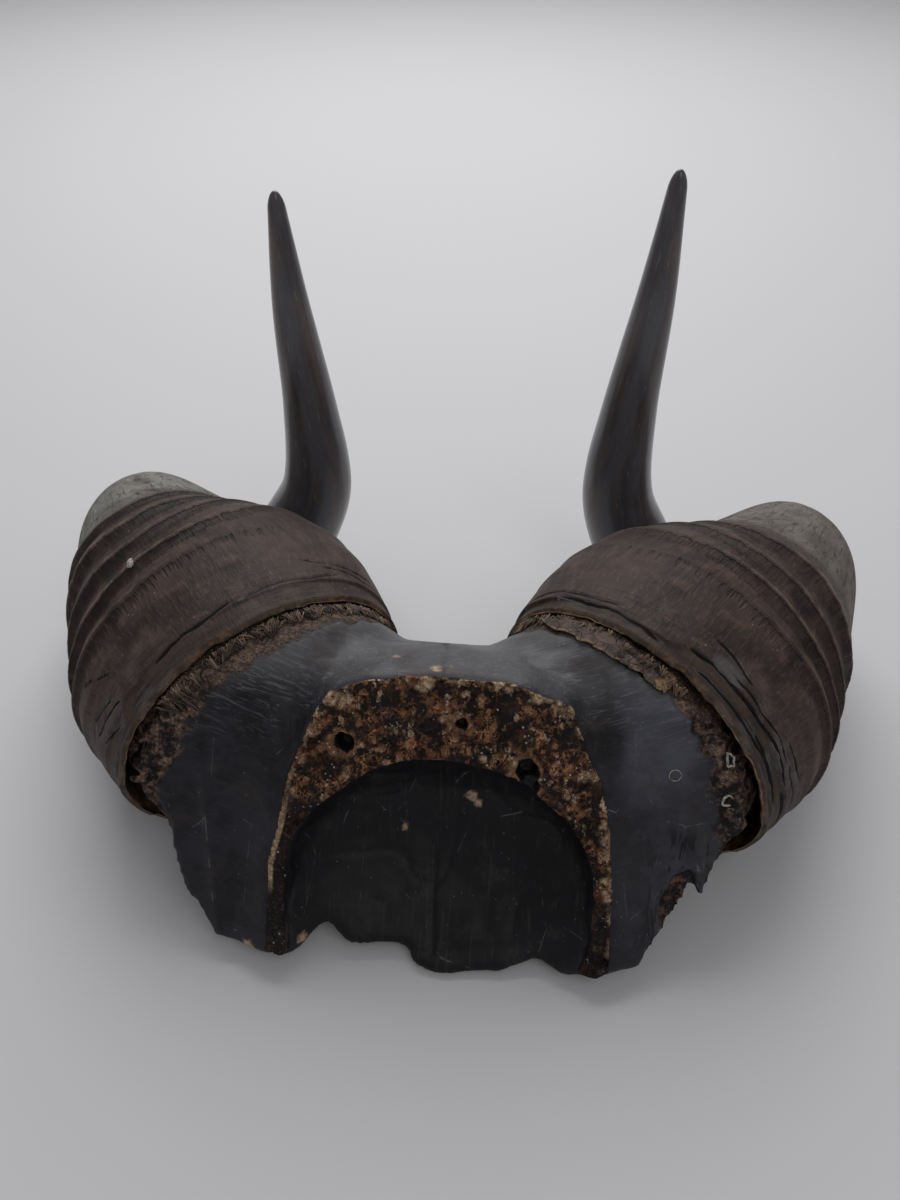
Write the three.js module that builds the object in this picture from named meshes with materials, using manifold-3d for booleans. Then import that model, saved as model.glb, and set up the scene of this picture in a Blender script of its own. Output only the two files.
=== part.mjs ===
// A pair of hartebeest horns on the sawn piece of skull that they grew from, in millimetres.
// X runs from the left horn to the right one, Y from the sawn side of the skull to the horn tips,
// and Z up. While the pieces are shaped, y = 0 is the ridge between the horns and z = 0 the table.
import * as THREE from "three";
import { LoftGeometry } from "three/addons/geometries/LoftGeometry.js";
import { mergeVertices } from "three/addons/utils/BufferGeometryUtils.js";
import Module from "manifold-3d";

const wasm = await Module();
wasm.setup();

// Each horn runs out and away from its base, bends at a hump, dips to the table and turns up
// into a smooth tip. `at` is the middle of a section, and `wide` and `thin` are its half widths.
const HORN_STATIONS = [
  { at: [60.5, -10, 51], wide: 54, thin: 40.5 }, // rim round the bone
  { at: [85.5, 25, 47.5], wide: 57.5, thin: 46.5 }, // fullest rings
  { at: [112.5, 56, 45], wide: 41.5, thin: 40.5 }, // last ring
  { at: [129, 87, 41], wide: 27.5, thin: 31 }, // worn hump
  { at: [110, 106, 23.3], wide: 21.3, thin: 21.3 },
  { at: [85, 112.5, 19.1], wide: 19.3, thin: 19.3 }, // lowest point, on the table
  { at: [75, 112.5, 32.5], wide: 17.3, thin: 17.3 }, // elbow
  { at: [64.5, 113, 59.5], wide: 14.7, thin: 14.7 },
  { at: [64, 113, 98], wide: 10.8, thin: 10.8 },
  { at: [67, 114, 143], wide: 7, thin: 7 },
  { at: [68, 114.5, 185], wide: 2.6, thin: 2.6 }, // tip
];
const WIDE_WAY = new THREE.Vector3(0.79, -0.53, -0.32); // the long way across the rim
const FRAME_STEPS = 200; // steps that carry this way along the horn without twisting it
const ELBOW = 6; // index of the station where the smooth tip begins
const TIP_LENGTHENED = { left: -5.5, right: 5.5 }; // one tip has worn shorter than the other
const HORN_SIDES = 24;

// Places along a horn are parts of its centreline, from the rim at 0 to the tip at 1.
const LIP_WIDTH = 0.02; // a thinner band round the rim
const LIP_STEP = 1.0;
const FIRST_RING = 0.065;
const RING_SPACING = 0.0315;
const RING_COUNT = 6;
const RING_HEIGHT = 2.2;
const RINGED_SECTIONS = 34;
const PLAIN_SECTIONS = 24;
const RING_SINK = 0.35; // part of a ring's height that its valleys lie under the smooth form
const RINGED_END = FIRST_RING + (RING_COUNT - 0.5) * RING_SPACING;
const RING_FADE = 0.06;

// The horn is a hollow sheath over a stub of bone.
const LIP_WALL = 3.6;
const DEEP_WALL = 9;
const SOCKET_PLACES = [-0.02, 0, 0.03, 0.06, 0.09, 0.12, 0.15, 0.17];
const CORE_PLACES = [-0.012, 0, 0.03, 0.06, 0.09, 0.12, 0.15];
const SOCKET_END = 0.17;
const CORE_CLEARANCE = 1.2;
const COLLAR_GAP = 1.0; // between the lip of the sheath and the rough collar of bone
const COLLAR_INSET = 1.8;
const COLLAR_DEPTH = 3;

// The saw went through the skull in one plane. Places on the bone are given in that plane's own
// frame: x across, up along the cut from its lowest edge, and deep, square to it, into the bone.
const SAW_FOOT = new THREE.Vector3(0, -76, 11);
const SAW_SLOPE = THREE.MathUtils.degToRad(57.4); // between the cut and the table
const SAW_X = new THREE.Vector3(1, 0, 0);
const SAW_UP = new THREE.Vector3(0, Math.cos(SAW_SLOPE), Math.sin(SAW_SLOPE));
const SAW_DEEP = new THREE.Vector3(0, Math.sin(SAW_SLOPE), -Math.cos(SAW_SLOPE));

// The braincase, from just in front of the cut to the forehead: half its width, and how far
// along the cut it reaches at the crown and at the foot.
const VAULT_MIDDLE = 1.7; // it grew a little off centre
const VAULT = [
  { deep: -6, half: 53, crown: 94.5, foot: -12 },
  { deep: 0, half: 54, crown: 95.3, foot: -11 },
  { deep: 14, half: 56, crown: 100, foot: -7 },
  { deep: 27, half: 53, crown: 100.5, foot: 1 },
  { deep: 37, half: 49, crown: 97.5, foot: 8 },
  { deep: 46, half: 44, crown: 89.5, foot: 17 },
  { deep: 54, half: 37, crown: 80, foot: 27 },
  { deep: 60, half: 29, crown: 69, foot: 36 },
  { deep: 63, half: 15, crown: 58, foot: 44 },
];
// One half of the arch, as parts of the half width and of the height from foot to crown.
const ARCH = [
  [0.5, 0],
  [0.82, 0.035],
  [0.96, 0.1],
  [1, 0.2],
  [0.985, 0.42],
  [0.93, 0.55],
  [0.87, 0.7],
  [0.77, 0.84],
  [0.67, 0.93],
  [0.42, 0.985],
  [0, 1],
];
// The hollow that held the brain: its half width at the cut and its depth, going up the cut.
const HOLLOW = [
  { up: -26, half: 47, depth: 2 },
  { up: -8, half: 48.5, depth: 4 },
  { up: 8, half: 48.8, depth: 13 },
  { up: 24, half: 49, depth: 21 },
  { up: 34, half: 48.5, depth: 24 },
  { up: 42, half: 45.5, depth: 25 },
  { up: 51, half: 39.5, depth: 23 },
  { up: 58, half: 31.5, depth: 19 },
  { up: 64, half: 23, depth: 12 },
  { up: 67.5, half: 15, depth: 6 },
  { up: 69, half: 8, depth: 2 },
];
const HOLLOW_FRONT = 12; // the hollow's solid starts this far in front of the cut
const HOLLOW_SIDES = 18;

// The bone that carries a horn, from inside the braincase out to the collar, in ovals that fan
// out from the ridge between the horns. `edge` is the end of an oval at the flange beside the
// braincase, and `ridge` the end between the horns. `taper` thins an oval towards the flange.
const PEDICLE = [
  { edge: [52, -75, 8], ridge: [4, 2, 60], thin: 24, taper: 0.4 },
  { edge: [75, -69, 10], ridge: [10, 7, 65], thin: 30, taper: 0.42 },
  { edge: [88, -56, 18], ridge: [14, 9, 67], thin: 35, taper: 0.32 },
  { edge: [95, -46, 27], ridge: [16, 12, 68.5], thin: 37.5, taper: 0.12 },
];
const PEDICLE_SIDES = 28;

// The snapped lower edge of the bone, in the frame of the cut: x, up. Each stretch was broken
// away to its own depth behind the cut.
const BROKEN_EDGES = [
  {
    depth: 26,
    edge: [
      [-120, 60], [-91, 39], [-88, 31], [-85, 28], [-82, 20], [-82, 15], [-80, 10], [-76, 5],
      [-72, 0], [-63, -3], [-57, -4],
    ],
  },
  {
    depth: 24,
    edge: [
      [-57, -4], [-50, -3], [-43, -2], [-40, 3], [-35, 7], [-31, 3], [-26.5, 0],
      [-17, 0.5], [-8.5, -0.5], [-6, -5], [3, -7], [12, -6], [22.5, -5], [30, -2], [35, 0.5],
      [38, -2], [43.5, -3.5], [50, -1.5], [58, -1],
    ],
  },
  {
    depth: 26,
    edge: [
      [58, -1], [62, -1.5], [67, -1], [69, 7], [71, 12], [74, 15], [78, 21], [82, 28],
      [85, 25], [88, 26], [90, 35], [94, 42], [120, 60],
    ],
  },
];
// Vessel holes in the spongy band of the arch: x, up, radius, and depth.
const PORES = [
  [-29, 74, 3, 9],
  [27.3, 68, 3.6, 10],
  [4.5, 81.5, 2, 5],
  [-17, 84, 1.8, 5],
  [40, 72, 1.8, 5],
];
const FAR = 400; // beyond every piece

// Turns a closed three.js geometry into a solid that can be cut and joined.
function solidOf(geometry) {
  const bare = new THREE.BufferGeometry();
  bare.setAttribute("position", geometry.getAttribute("position"));
  bare.setIndex(geometry.getIndex());
  const merged = mergeVertices(bare, 1e-3);
  const shape = {
    numProp: 3,
    vertProperties: merged.attributes.position.array,
    triVerts: new Uint32Array(merged.index.array),
  };
  return new wasm.Manifold(new wasm.Mesh(shape));
}

function geometryOf(solid) {
  const mesh = solid.getMesh();
  const geometry = new THREE.BufferGeometry();
  geometry.setAttribute("position", new THREE.BufferAttribute(mesh.vertProperties, 3));
  geometry.setIndex(new THREE.BufferAttribute(mesh.triVerts, 1));
  geometry.computeVertexNormals();
  return geometry;
}

function middleOf(points) {
  const sum = points.reduce((total, point) => total.add(point), new THREE.Vector3());
  return sum.divideScalar(points.length);
}

// A closed solid through sections that each hold the same number of points. A loft needs them
// to run counterclockwise seen from its far end, so sections that run the other way are turned.
function loft(sections) {
  const [first, second] = sections;
  const centre = middleOf(first);
  const forward = middleOf(second).sub(centre);
  const normal = new THREE.Vector3();
  first.forEach((point, i) => {
    const next = first[(i + 1) % first.length];
    normal.add(point.clone().sub(centre).cross(next.clone().sub(centre)));
  });
  const rings = normal.dot(forward) > 0 ? sections : sections.map((ring) => [...ring].reverse());
  return solidOf(new LoftGeometry(rings, { closed: true, capStart: true, capEnd: true }));
}

// The points of an oval whose long half axis is `wide` along `wideWay`, square to `along`.
function oval(middle, along, wideWay, wide, thin, sides, swell = () => 0) {
  const across = wideWay.clone().addScaledVector(along, -wideWay.dot(along)).normalize();
  const other = new THREE.Vector3().crossVectors(along, across);
  return Array.from({ length: sides }, (_, i) => {
    const angle = (i / sides) * 2 * Math.PI;
    const grown = 1 + swell(angle) / thin;
    return middle
      .clone()
      .addScaledVector(across, wide * grown * Math.cos(angle))
      .addScaledVector(other, thin * grown * Math.sin(angle));
  });
}

// A point on the skull, from its place in the frame of the cut.
function inSkull(x, up, deep) {
  return SAW_FOOT.clone()
    .addScaledVector(SAW_X, x)
    .addScaledVector(SAW_UP, up)
    .addScaledVector(SAW_DEEP, deep);
}

// A box given by its two corners in the frame of the cut.
function skullBox(low, high) {
  const geometry = new THREE.BoxGeometry(high[0] - low[0], high[1] - low[1], high[2] - low[2]);
  geometry.translate((low[0] + high[0]) / 2, (low[1] + high[1]) / 2, (low[2] + high[2]) / 2);
  return solidOf(geometry.applyMatrix4(skullMatrix()));
}

// x, up and deep make a left-handed frame, so `deep` is turned round and negated.
function skullMatrix() {
  const outward = SAW_DEEP.clone().negate();
  return new THREE.Matrix4().makeBasis(SAW_X, SAW_UP, outward).setPosition(SAW_FOOT);
}

// The centreline and the size of one horn. `side` is 1 for the right horn and -1 for the left.
function hornCurves(side) {
  const longer = side > 0 ? TIP_LENGTHENED.right : TIP_LENGTHENED.left;
  const last = HORN_STATIONS.length - 1;
  const points = HORN_STATIONS.map(({ at: [x, y, z] }, i) => {
    const tipShare = Math.max(0, (i - ELBOW) / (last - ELBOW));
    return new THREE.Vector3(side * x, y, z + longer * tipShare);
  });
  const sizes = HORN_STATIONS.map(({ wide, thin }) => new THREE.Vector3(wide, thin, 0));
  const centre = new THREE.CatmullRomCurve3(points, false, "catmullrom", 0.5);
  const size = new THREE.CatmullRomCurve3(sizes, false, "catmullrom", 0.5);
  const wideWays = [new THREE.Vector3(side * WIDE_WAY.x, WIDE_WAY.y, WIDE_WAY.z)];
  for (let i = 1; i <= FRAME_STEPS; i++) {
    const along = centre.getTangent(i / FRAME_STEPS);
    wideWays.push(wideWays[i - 1].clone().projectOnPlane(along).normalize());
  }
  return { centre, size, wideWays };
}

// How far the surface stands out at a place along the horn. The rings are highest on the outer
// side and nearly gone between the horns, and they start low near the rim.
function relief(t, outward) {
  if (t < LIP_WIDTH) return -LIP_STEP;
  const side = THREE.MathUtils.clamp(0.9 + 0.65 * outward, 0.2, 1);
  if (t > RINGED_END) {
    const left = Math.max(0, 1 - (t - RINGED_END) / RING_FADE);
    return -RING_HEIGHT * side * RING_SINK * left;
  }
  const ring = (t - FIRST_RING) / RING_SPACING;
  if (ring < -0.5) return 0;
  const wave = (0.5 + 0.5 * Math.cos(2 * Math.PI * ring)) ** 1.5;
  const rise = THREE.MathUtils.clamp((ring + 0.9) / 3, 0.2, 1);
  return RING_HEIGHT * rise * side * (wave - RING_SINK);
}

// One section of a horn, `inset` inside its smooth surface.
function hornSection(curves, t, inset, ringed) {
  const place = Math.max(0, t);
  const along = curves.centre.getTangent(place);
  const middle = curves.centre.getPoint(place);
  if (t < 0) middle.addScaledVector(along, t * curves.centre.getLength());
  const size = curves.size.getPoint(place);
  const wideWay = curves.wideWays[Math.round(place * FRAME_STEPS)];
  const swell = ringed ? (angle) => relief(t, Math.cos(angle)) : () => 0;
  return oval(middle, along, wideWay, size.x - inset, size.y - inset, HORN_SIDES, swell);
}

// The wall of the sheath thickens from the lip to the end of the socket.
function wall(t) {
  return LIP_WALL + (DEEP_WALL - LIP_WALL) * THREE.MathUtils.clamp(t / SOCKET_END, 0, 1);
}

// A horn sheath: the outer form less the socket, resting on a small worn flat.
function sheath(side) {
  const curves = hornCurves(side);
  const ringed = Array.from(
    { length: RINGED_SECTIONS },
    (_, i) => (RINGED_END * i) / RINGED_SECTIONS,
  );
  const plain = Array.from(
    { length: PLAIN_SECTIONS + 1 },
    (_, i) => RINGED_END + ((1 - RINGED_END) * i) / PLAIN_SECTIONS,
  );
  const sections = [...ringed, ...plain].map((t) => hornSection(curves, t, 0, true));
  const tip = middleOf(sections.at(-1));
  const tipWay = curves.centre.getTangent(1);
  const tipSize = HORN_STATIONS.at(-1).wide;
  const rounded = tip.clone().addScaledVector(tipWay, tipSize * 0.7);
  sections.push(oval(rounded, tipWay, curves.wideWays.at(-1), tipSize / 2, tipSize / 2, HORN_SIDES));
  const socket = loft(SOCKET_PLACES.map((t) => hornSection(curves, t, wall(t), false)));
  return loft(sections).subtract(socket).subtract(tableBelow());
}

// The stub of bone inside a horn.
function core(side) {
  const curves = hornCurves(side);
  return loft(CORE_PLACES.map((t) => hornSection(curves, t, wall(t) + CORE_CLEARANCE, false)));
}

function pedicle(side) {
  const curves = hornCurves(side);
  const rimWay = curves.centre.getTangent(0);
  const rim = curves.centre.getPoint(0).addScaledVector(rimWay, -COLLAR_GAP);
  const base = HORN_STATIONS[0];
  const thinWay = new THREE.Vector3().crossVectors(rimWay, curves.wideWays[0]).normalize();
  const sections = PEDICLE.map(({ edge, ridge, thin, taper }) => {
    const edgePoint = new THREE.Vector3(side * edge[0], edge[1], edge[2]);
    const ridgePoint = new THREE.Vector3(side * ridge[0], ridge[1], ridge[2]);
    const middle = edgePoint.clone().add(ridgePoint).divideScalar(2);
    const half = edgePoint.clone().sub(middle);
    const long = half.clone().normalize();
    const thinAxis = thinWay.clone().addScaledVector(long, -thinWay.dot(long)).normalize();
    return Array.from({ length: PEDICLE_SIDES }, (_, i) => {
      const angle = (i / PEDICLE_SIDES) * 2 * Math.PI;
      const thickness = thin * (1 - taper * Math.cos(angle));
      return middle
        .clone()
        .addScaledVector(half, Math.cos(angle))
        .addScaledVector(thinAxis, thickness * Math.sin(angle));
    });
  });
  const collarWide = base.wide - COLLAR_INSET;
  const collarThin = base.thin - COLLAR_INSET;
  for (const back of [COLLAR_DEPTH, 0]) {
    const middle = rim.clone().addScaledVector(rimWay, -back);
    sections.push(oval(middle, rimWay, curves.wideWays[0], collarWide, collarThin, PEDICLE_SIDES));
  }
  return loft(sections);
}

function vault() {
  const otherHalf = ARCH.slice(0, -1).reverse();
  const outline = [...ARCH, ...otherHalf.map(([x, up]) => [-x, up])];
  const sections = VAULT.map(({ deep, half: width, crown, foot }) =>
    outline.map(([x, up]) => inSkull(VAULT_MIDDLE + x * width, foot + up * (crown - foot), deep)),
  );
  return loft(sections);
}

function hollow() {
  const sections = HOLLOW.map(({ up, half, depth }) => {
    const bowl = Array.from({ length: HOLLOW_SIDES + 1 }, (_, i) => {
      const angle = (i / HOLLOW_SIDES) * Math.PI;
      return inSkull(VAULT_MIDDLE - half * Math.cos(angle), up, depth * Math.sin(angle) ** 0.8);
    });
    const front = [half * 0.99, -half * 0.99].map((x) =>
      inSkull(VAULT_MIDDLE + x, up, -HOLLOW_FRONT),
    );
    return [...bowl, ...front];
  });
  return loft(sections);
}

// Everything below one stretch of the snapped edge, down to its depth behind the cut.
function brokenAway({ edge, depth }) {
  const lowest = -60;
  const inFront = 30;
  const shape = new THREE.Shape(edge.map(([x, up]) => new THREE.Vector2(x, up)));
  shape.lineTo(edge.at(-1)[0], lowest);
  shape.lineTo(edge[0][0], lowest);
  const through = { depth: inFront + depth, bevelEnabled: false };
  const geometry = new THREE.ExtrudeGeometry(shape, through);
  geometry.translate(0, 0, -depth);
  return solidOf(geometry.applyMatrix4(skullMatrix()));
}

function pore([x, up, radius, depth]) {
  const narrowed = radius * 0.6;
  const sides = 10;
  const geometry = new THREE.CylinderGeometry(radius, narrowed, depth * 2, sides);
  geometry.rotateX(Math.PI / 2);
  geometry.translate(x, up, 0);
  return solidOf(geometry.applyMatrix4(skullMatrix()));
}

function tableBelow() {
  const geometry = new THREE.BoxGeometry(2 * FAR, 2 * FAR, FAR);
  return solidOf(geometry.translate(0, 0, -FAR / 2));
}

function skullPlate() {
  let bone = vault();
  for (const side of [-1, 1]) bone = bone.add(pedicle(side)).add(core(side));
  bone = bone.subtract(skullBox([-FAR, -FAR, 0], [FAR, FAR, FAR]));
  bone = bone.subtract(hollow()).subtract(tableBelow());
  for (const stretch of BROKEN_EDGES) bone = bone.subtract(brokenAway(stretch));
  for (const hole of PORES) bone = bone.subtract(pore(hole));
  return bone;
}

const BONE = new THREE.MeshStandardMaterial({ color: 0x2b2a2d, roughness: 0.6, metalness: 0 });
const HORN = new THREE.MeshStandardMaterial({ color: 0x43352e, roughness: 0.55, metalness: 0 });

function addMesh(parent, name, solid, material) {
  const mesh = new THREE.Mesh(geometryOf(solid), material);
  mesh.name = name;
  parent.add(mesh);
}

const horns = new THREE.Group();
addMesh(horns, "skull_plate", skullPlate(), BONE);
addMesh(horns, "left_horn_sheath", sheath(-1), HORN.clone());
addMesh(horns, "right_horn_sheath", sheath(1), HORN.clone());

// The finished part stands with its origin under the middle of its box.
const box = new THREE.Box3().setFromObject(horns);
const middle = box.getCenter(new THREE.Vector3());
horns.position.set(-middle.x, -middle.y, -box.min.z);

export default horns;
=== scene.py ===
import math

import bpy
import numpy as np
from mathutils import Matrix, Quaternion, Vector
from mathutils.bvhtree import BVHTree


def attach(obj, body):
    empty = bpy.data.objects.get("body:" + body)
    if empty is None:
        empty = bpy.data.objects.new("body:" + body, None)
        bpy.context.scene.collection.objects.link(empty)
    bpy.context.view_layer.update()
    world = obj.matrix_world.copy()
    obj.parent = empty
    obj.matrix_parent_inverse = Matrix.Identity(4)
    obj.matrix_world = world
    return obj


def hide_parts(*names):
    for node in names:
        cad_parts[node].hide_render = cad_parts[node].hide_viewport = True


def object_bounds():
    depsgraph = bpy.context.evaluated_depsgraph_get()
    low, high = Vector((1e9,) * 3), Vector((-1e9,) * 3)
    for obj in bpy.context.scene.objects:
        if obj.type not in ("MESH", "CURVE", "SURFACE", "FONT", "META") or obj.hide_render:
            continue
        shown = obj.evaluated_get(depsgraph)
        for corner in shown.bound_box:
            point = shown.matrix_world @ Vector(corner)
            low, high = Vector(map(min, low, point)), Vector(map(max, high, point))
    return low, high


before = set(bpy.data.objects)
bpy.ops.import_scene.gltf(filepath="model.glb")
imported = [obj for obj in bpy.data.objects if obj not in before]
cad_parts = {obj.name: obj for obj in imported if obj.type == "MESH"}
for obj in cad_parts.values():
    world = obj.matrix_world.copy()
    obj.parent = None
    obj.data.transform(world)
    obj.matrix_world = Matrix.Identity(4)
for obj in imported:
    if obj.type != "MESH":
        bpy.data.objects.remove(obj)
cad_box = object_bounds()

# ---- Skull plate -------------------------------------------------------------------------
# The top of a hartebeest's braincase with the two flaring stubs that carry the horns. It was
# sawn off in one plane, and the cut shows spongy bone. The bone is old, stained nearly black.
# Its solid is sampled on a grid, softened as bone is, and given back its crisp cut face.
METRES = 0.001  # all sizes below are in millimetres
SAW_FOOT = np.array([0.0, -103.16, 11.0])
SAW_SLOPE = math.radians(57.4)
SAW_WAYS = np.array([
    [1, 0, 0],
    [0, math.cos(SAW_SLOPE), math.sin(SAW_SLOPE)],
    [0, math.sin(SAW_SLOPE), -math.cos(SAW_SLOPE)],
])  # across, up along the cut, and deep into the bone, which is a left-handed set


def to_cut(points):
    return (points - SAW_FOOT) @ SAW_WAYS.T


def from_cut(places):
    return places @ SAW_WAYS + SAW_FOOT


class Wander:
    """Soft random values that change over a few millimetres, the same on every run."""

    def __init__(self, seed):
        self.lattice = np.random.default_rng(seed).random((32, 32, 32)).astype(np.float32)

    def __call__(self, points, size):
        scaled = np.asarray(points, dtype=np.float32) / size
        cell = np.floor(scaled).astype(np.int32)
        part = scaled - cell
        part = part * part * (3 - 2 * part)
        total = np.zeros(len(scaled), dtype=np.float32)
        for corner in range(8):
            pick = np.array([corner & 1, corner >> 1 & 1, corner >> 2 & 1])
            weight = np.where(pick, part, 1 - part).prod(axis=1)
            i, j, k = ((cell + pick) & 31).T
            total += weight * self.lattice[i, j, k]
        return 2 * total - 1


wander = Wander(7)


def soft_step(value, low, high):
    share = np.clip((value - low) / (high - low), 0, 1)
    return share * share * (3 - 2 * share)


def body_of_node(name):
    """Corners in the frame of the cut, and triangles, of one CAD solid."""
    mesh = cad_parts[name].data
    corners = np.empty(len(mesh.vertices) * 3)
    mesh.vertices.foreach_get("co", corners)
    mesh.calc_loop_triangles()
    triangles = np.empty(len(mesh.loop_triangles) * 3, dtype=np.int64)
    mesh.loop_triangles.foreach_get("vertices", triangles)
    return to_cut(corners.reshape(-1, 3) / METRES), triangles.reshape(-1, 3)


def filled_share(corners, triangles, low, shape, axis):
    """Share of each one-millimetre cell that is bone, from rays down one axis of the grid."""
    across, other = [i for i in range(3) if i != axis]
    gain = np.zeros([shape[across], shape[other], shape[axis] + 2], dtype=np.float32)
    grid = corners - low
    edges = grid[triangles]
    normals = np.cross(edges[:, 1] - edges[:, 0], edges[:, 2] - edges[:, 0])
    ray_start = 0.5 + 0.0137  # a little off the middle of a cell, so no ray meets an edge
    for three, normal in zip(edges, normals):
        if abs(normal[axis]) < 1e-9:
            continue
        first = np.ceil(three[:, [across, other]].min(axis=0) - ray_start).astype(int)
        last = np.floor(three[:, [across, other]].max(axis=0) - ray_start).astype(int)
        first = np.maximum(first, 0)
        last = np.minimum(last, [shape[across] - 1, shape[other] - 1])
        if (last < first).any():
            continue
        i, j = np.mgrid[first[0]:last[0] + 1, first[1]:last[1] + 1].reshape(2, -1)
        a, b = i + ray_start, j + ray_start
        inside = np.ones(len(i), dtype=bool)
        turn = np.sign(normal[axis]) * (1 if axis != 1 else -1)
        for k in range(3):
            p, q = three[k], three[(k + 1) % 3]
            side = (q[across] - p[across]) * (b - p[other]) - (q[other] - p[other]) * (a - p[across])
            inside &= side * turn > 0
        if not inside.any():
            continue
        i, j, a, b = i[inside], j[inside], a[inside], b[inside]
        depth = three[0][axis] - (
            normal[across] * (a - three[0][across]) + normal[other] * (b - three[0][other])
        ) / normal[axis]
        depth = np.clip(depth, 0, shape[axis])
        cell = np.floor(depth).astype(int)
        part = depth - cell
        enters = np.sign(normal[axis])  # the set of axes is left-handed, so outward is negated
        gain[i, j, cell] += enters * (1 - part)
        gain[i, j, cell + 1] += enters * part
    share = np.cumsum(gain, axis=2)[:, :, :shape[axis]]
    return np.moveaxis(share, 2, axis)


def blurred(field, spread):
    reach = int(math.ceil(3 * spread))
    weights = np.exp(-0.5 * (np.arange(-reach, reach + 1) / spread) ** 2)
    weights /= weights.sum()
    for axis in range(3):
        padded = np.pad(field, [(reach, reach) if i == axis else (0, 0) for i in range(3)], "edge")
        field = sum(
            weight * np.take(padded, range(k, k + field.shape[axis]), axis)
            for k, weight in enumerate(weights)
        )
    return field


# Share of bone in each cell of a grid of one-millimetre cells that lies along the cut.
corners, triangles = body_of_node("skull_plate")
GRID_LOW = np.array([-118.0, -10.0, 0.0])
GRID_SHAPE = np.array([236, 134, 112])
MIRRORED = 8  # cells copied to the near side of the cut, so that it keeps a sharp edge
share = sum(filled_share(corners, triangles, GRID_LOW, GRID_SHAPE, axis) for axis in range(3)) / 3
share = np.concatenate([share[:, :, MIRRORED - 1::-1], share], axis=2)
LOGISTIC_SLOPE = 1.702  # of the logistic curve that lies nearest to a blurred edge


def depth_under(share, spread):
    """Millimetres under the softened surface."""
    share = np.clip(blurred(share, spread), 0.004, 0.996)
    return spread * np.log(share / (1 - share)) / LOGISTIC_SLOPE


SOFTNESS, SADDLE_SOFTNESS = 1.6, 5.5
bone_depth = depth_under(share, SOFTNESS)
saddle_depth = depth_under(share, SADDLE_SOFTNESS)
cell_up = (np.arange(GRID_SHAPE[1]) + 0.5 + GRID_LOW[1])[None, :, None]
cell_deep = (np.arange(share.shape[2]) + 0.5 - MIRRORED)[None, None, :]
in_saddle = soft_step(cell_up, 58, 80) * soft_step(cell_deep, 3, 11)
bone_depth = bone_depth * (1 - in_saddle) + saddle_depth * in_saddle


# Finer grid lines where the spongy cut face is, and coarser ones elsewhere.
def grid_lines(start, *stretches):
    lines = [np.array([start])]
    for end, spacing in stretches:
        begin = lines[-1][-1]
        count = max(1, round((end - begin) / spacing))
        lines.append(np.linspace(begin, end, count + 1)[1:])
    return np.concatenate(lines)


LINES = [
    grid_lines(-117, (-60, 1.12), (60, 0.84), (117, 1.12)),
    grid_lines(-9.5, (40, 1.0), (100, 0.84), (123, 1.45)),
    grid_lines(-2.5, (6, 0.5), (40, 1.25), (111, 2.0)),
]
field = bone_depth
for axis, (lines, low) in enumerate(zip(LINES, GRID_LOW - [0, 0, MIRRORED])):
    place = np.clip(lines - low - 0.5, 0, field.shape[axis] - 1.001)
    cell = np.floor(place).astype(int)
    part = (place - cell).reshape([-1 if i == axis else 1 for i in range(3)])
    field = np.take(field, cell, axis) * (1 - part) + np.take(field, cell + 1, axis) * part
across = LINES[0][:, None, None]
up = LINES[1][None, :, None]
deep = LINES[2][None, None, :]

# Under the lip of each sheath the bone is a rough, spongy collar that lies lower than the
# smooth bone. Angles go round the rim: -180 between the horns, -90 on top, 0 outermost.
COLLAR_ANGLES = [-180, -160, -140, -120, -100, -80, -60, -40, -20, 0, 20, 60, 180]
COLLAR_WIDTHS = {
    -1: [8, 8, 8.5, 9.5, 10, 8.5, 8, 9, 10, 9, 8, 8, 8],
    1: [8, 8, 7.5, 8, 6, 5.5, 6.5, 9.5, 12, 14, 15, 10, 8],
}
COLLAR_DEPTHS = {
    -1: [0, 0, 0, 0, 0, 0.1, 0.3, 0.5, 0.9, 1.2, 1.2, 1.0, 0.3],
    1: [0, 0, 0, 0.2, 0.6, 1.0, 1.6, 2.2, 2.6, 2.6, 2.4, 1.5, 0.5],
}
STUB_LENGTH = 10  # the stub of bone inside each sheath is cut short, out of sight
# Rim of the right horn: its middle, the way along the horn, the wide way across it, and its
# half widths. The left one mirrors it.
RIM_MIDDLE = np.array([60.5, -37.16, 51.0])
RIM_ALONG = np.array([0.5813, 0.8101, -0.0769])
RIM_WIDE = np.array([0.79, -0.53, -0.32])
RIM_HALF_WIDE, RIM_HALF_THIN = 54, 40.5


def unit(vector):
    return vector / np.linalg.norm(vector)


def rim_frame(side):
    """Middle of one rim, the way along the horn there, and the ways across it."""
    mirror = np.array([side, 1, 1])
    along = unit(RIM_ALONG) * mirror
    wide = unit(RIM_WIDE * mirror - along * (RIM_WIDE * mirror @ along))
    return RIM_MIDDLE * mirror, along, wide, side * np.cross(along, wide)


def collar_place(points, side):
    """How far points lie behind the rim, and their angle round the horn's axis."""
    middle, along, wide, thin = rim_frame(side)
    offset = points - middle
    angle = np.arctan2(offset @ thin / RIM_HALF_THIN, offset @ wide / RIM_HALF_WIDE)
    return -(offset @ along), np.degrees(angle)


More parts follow.
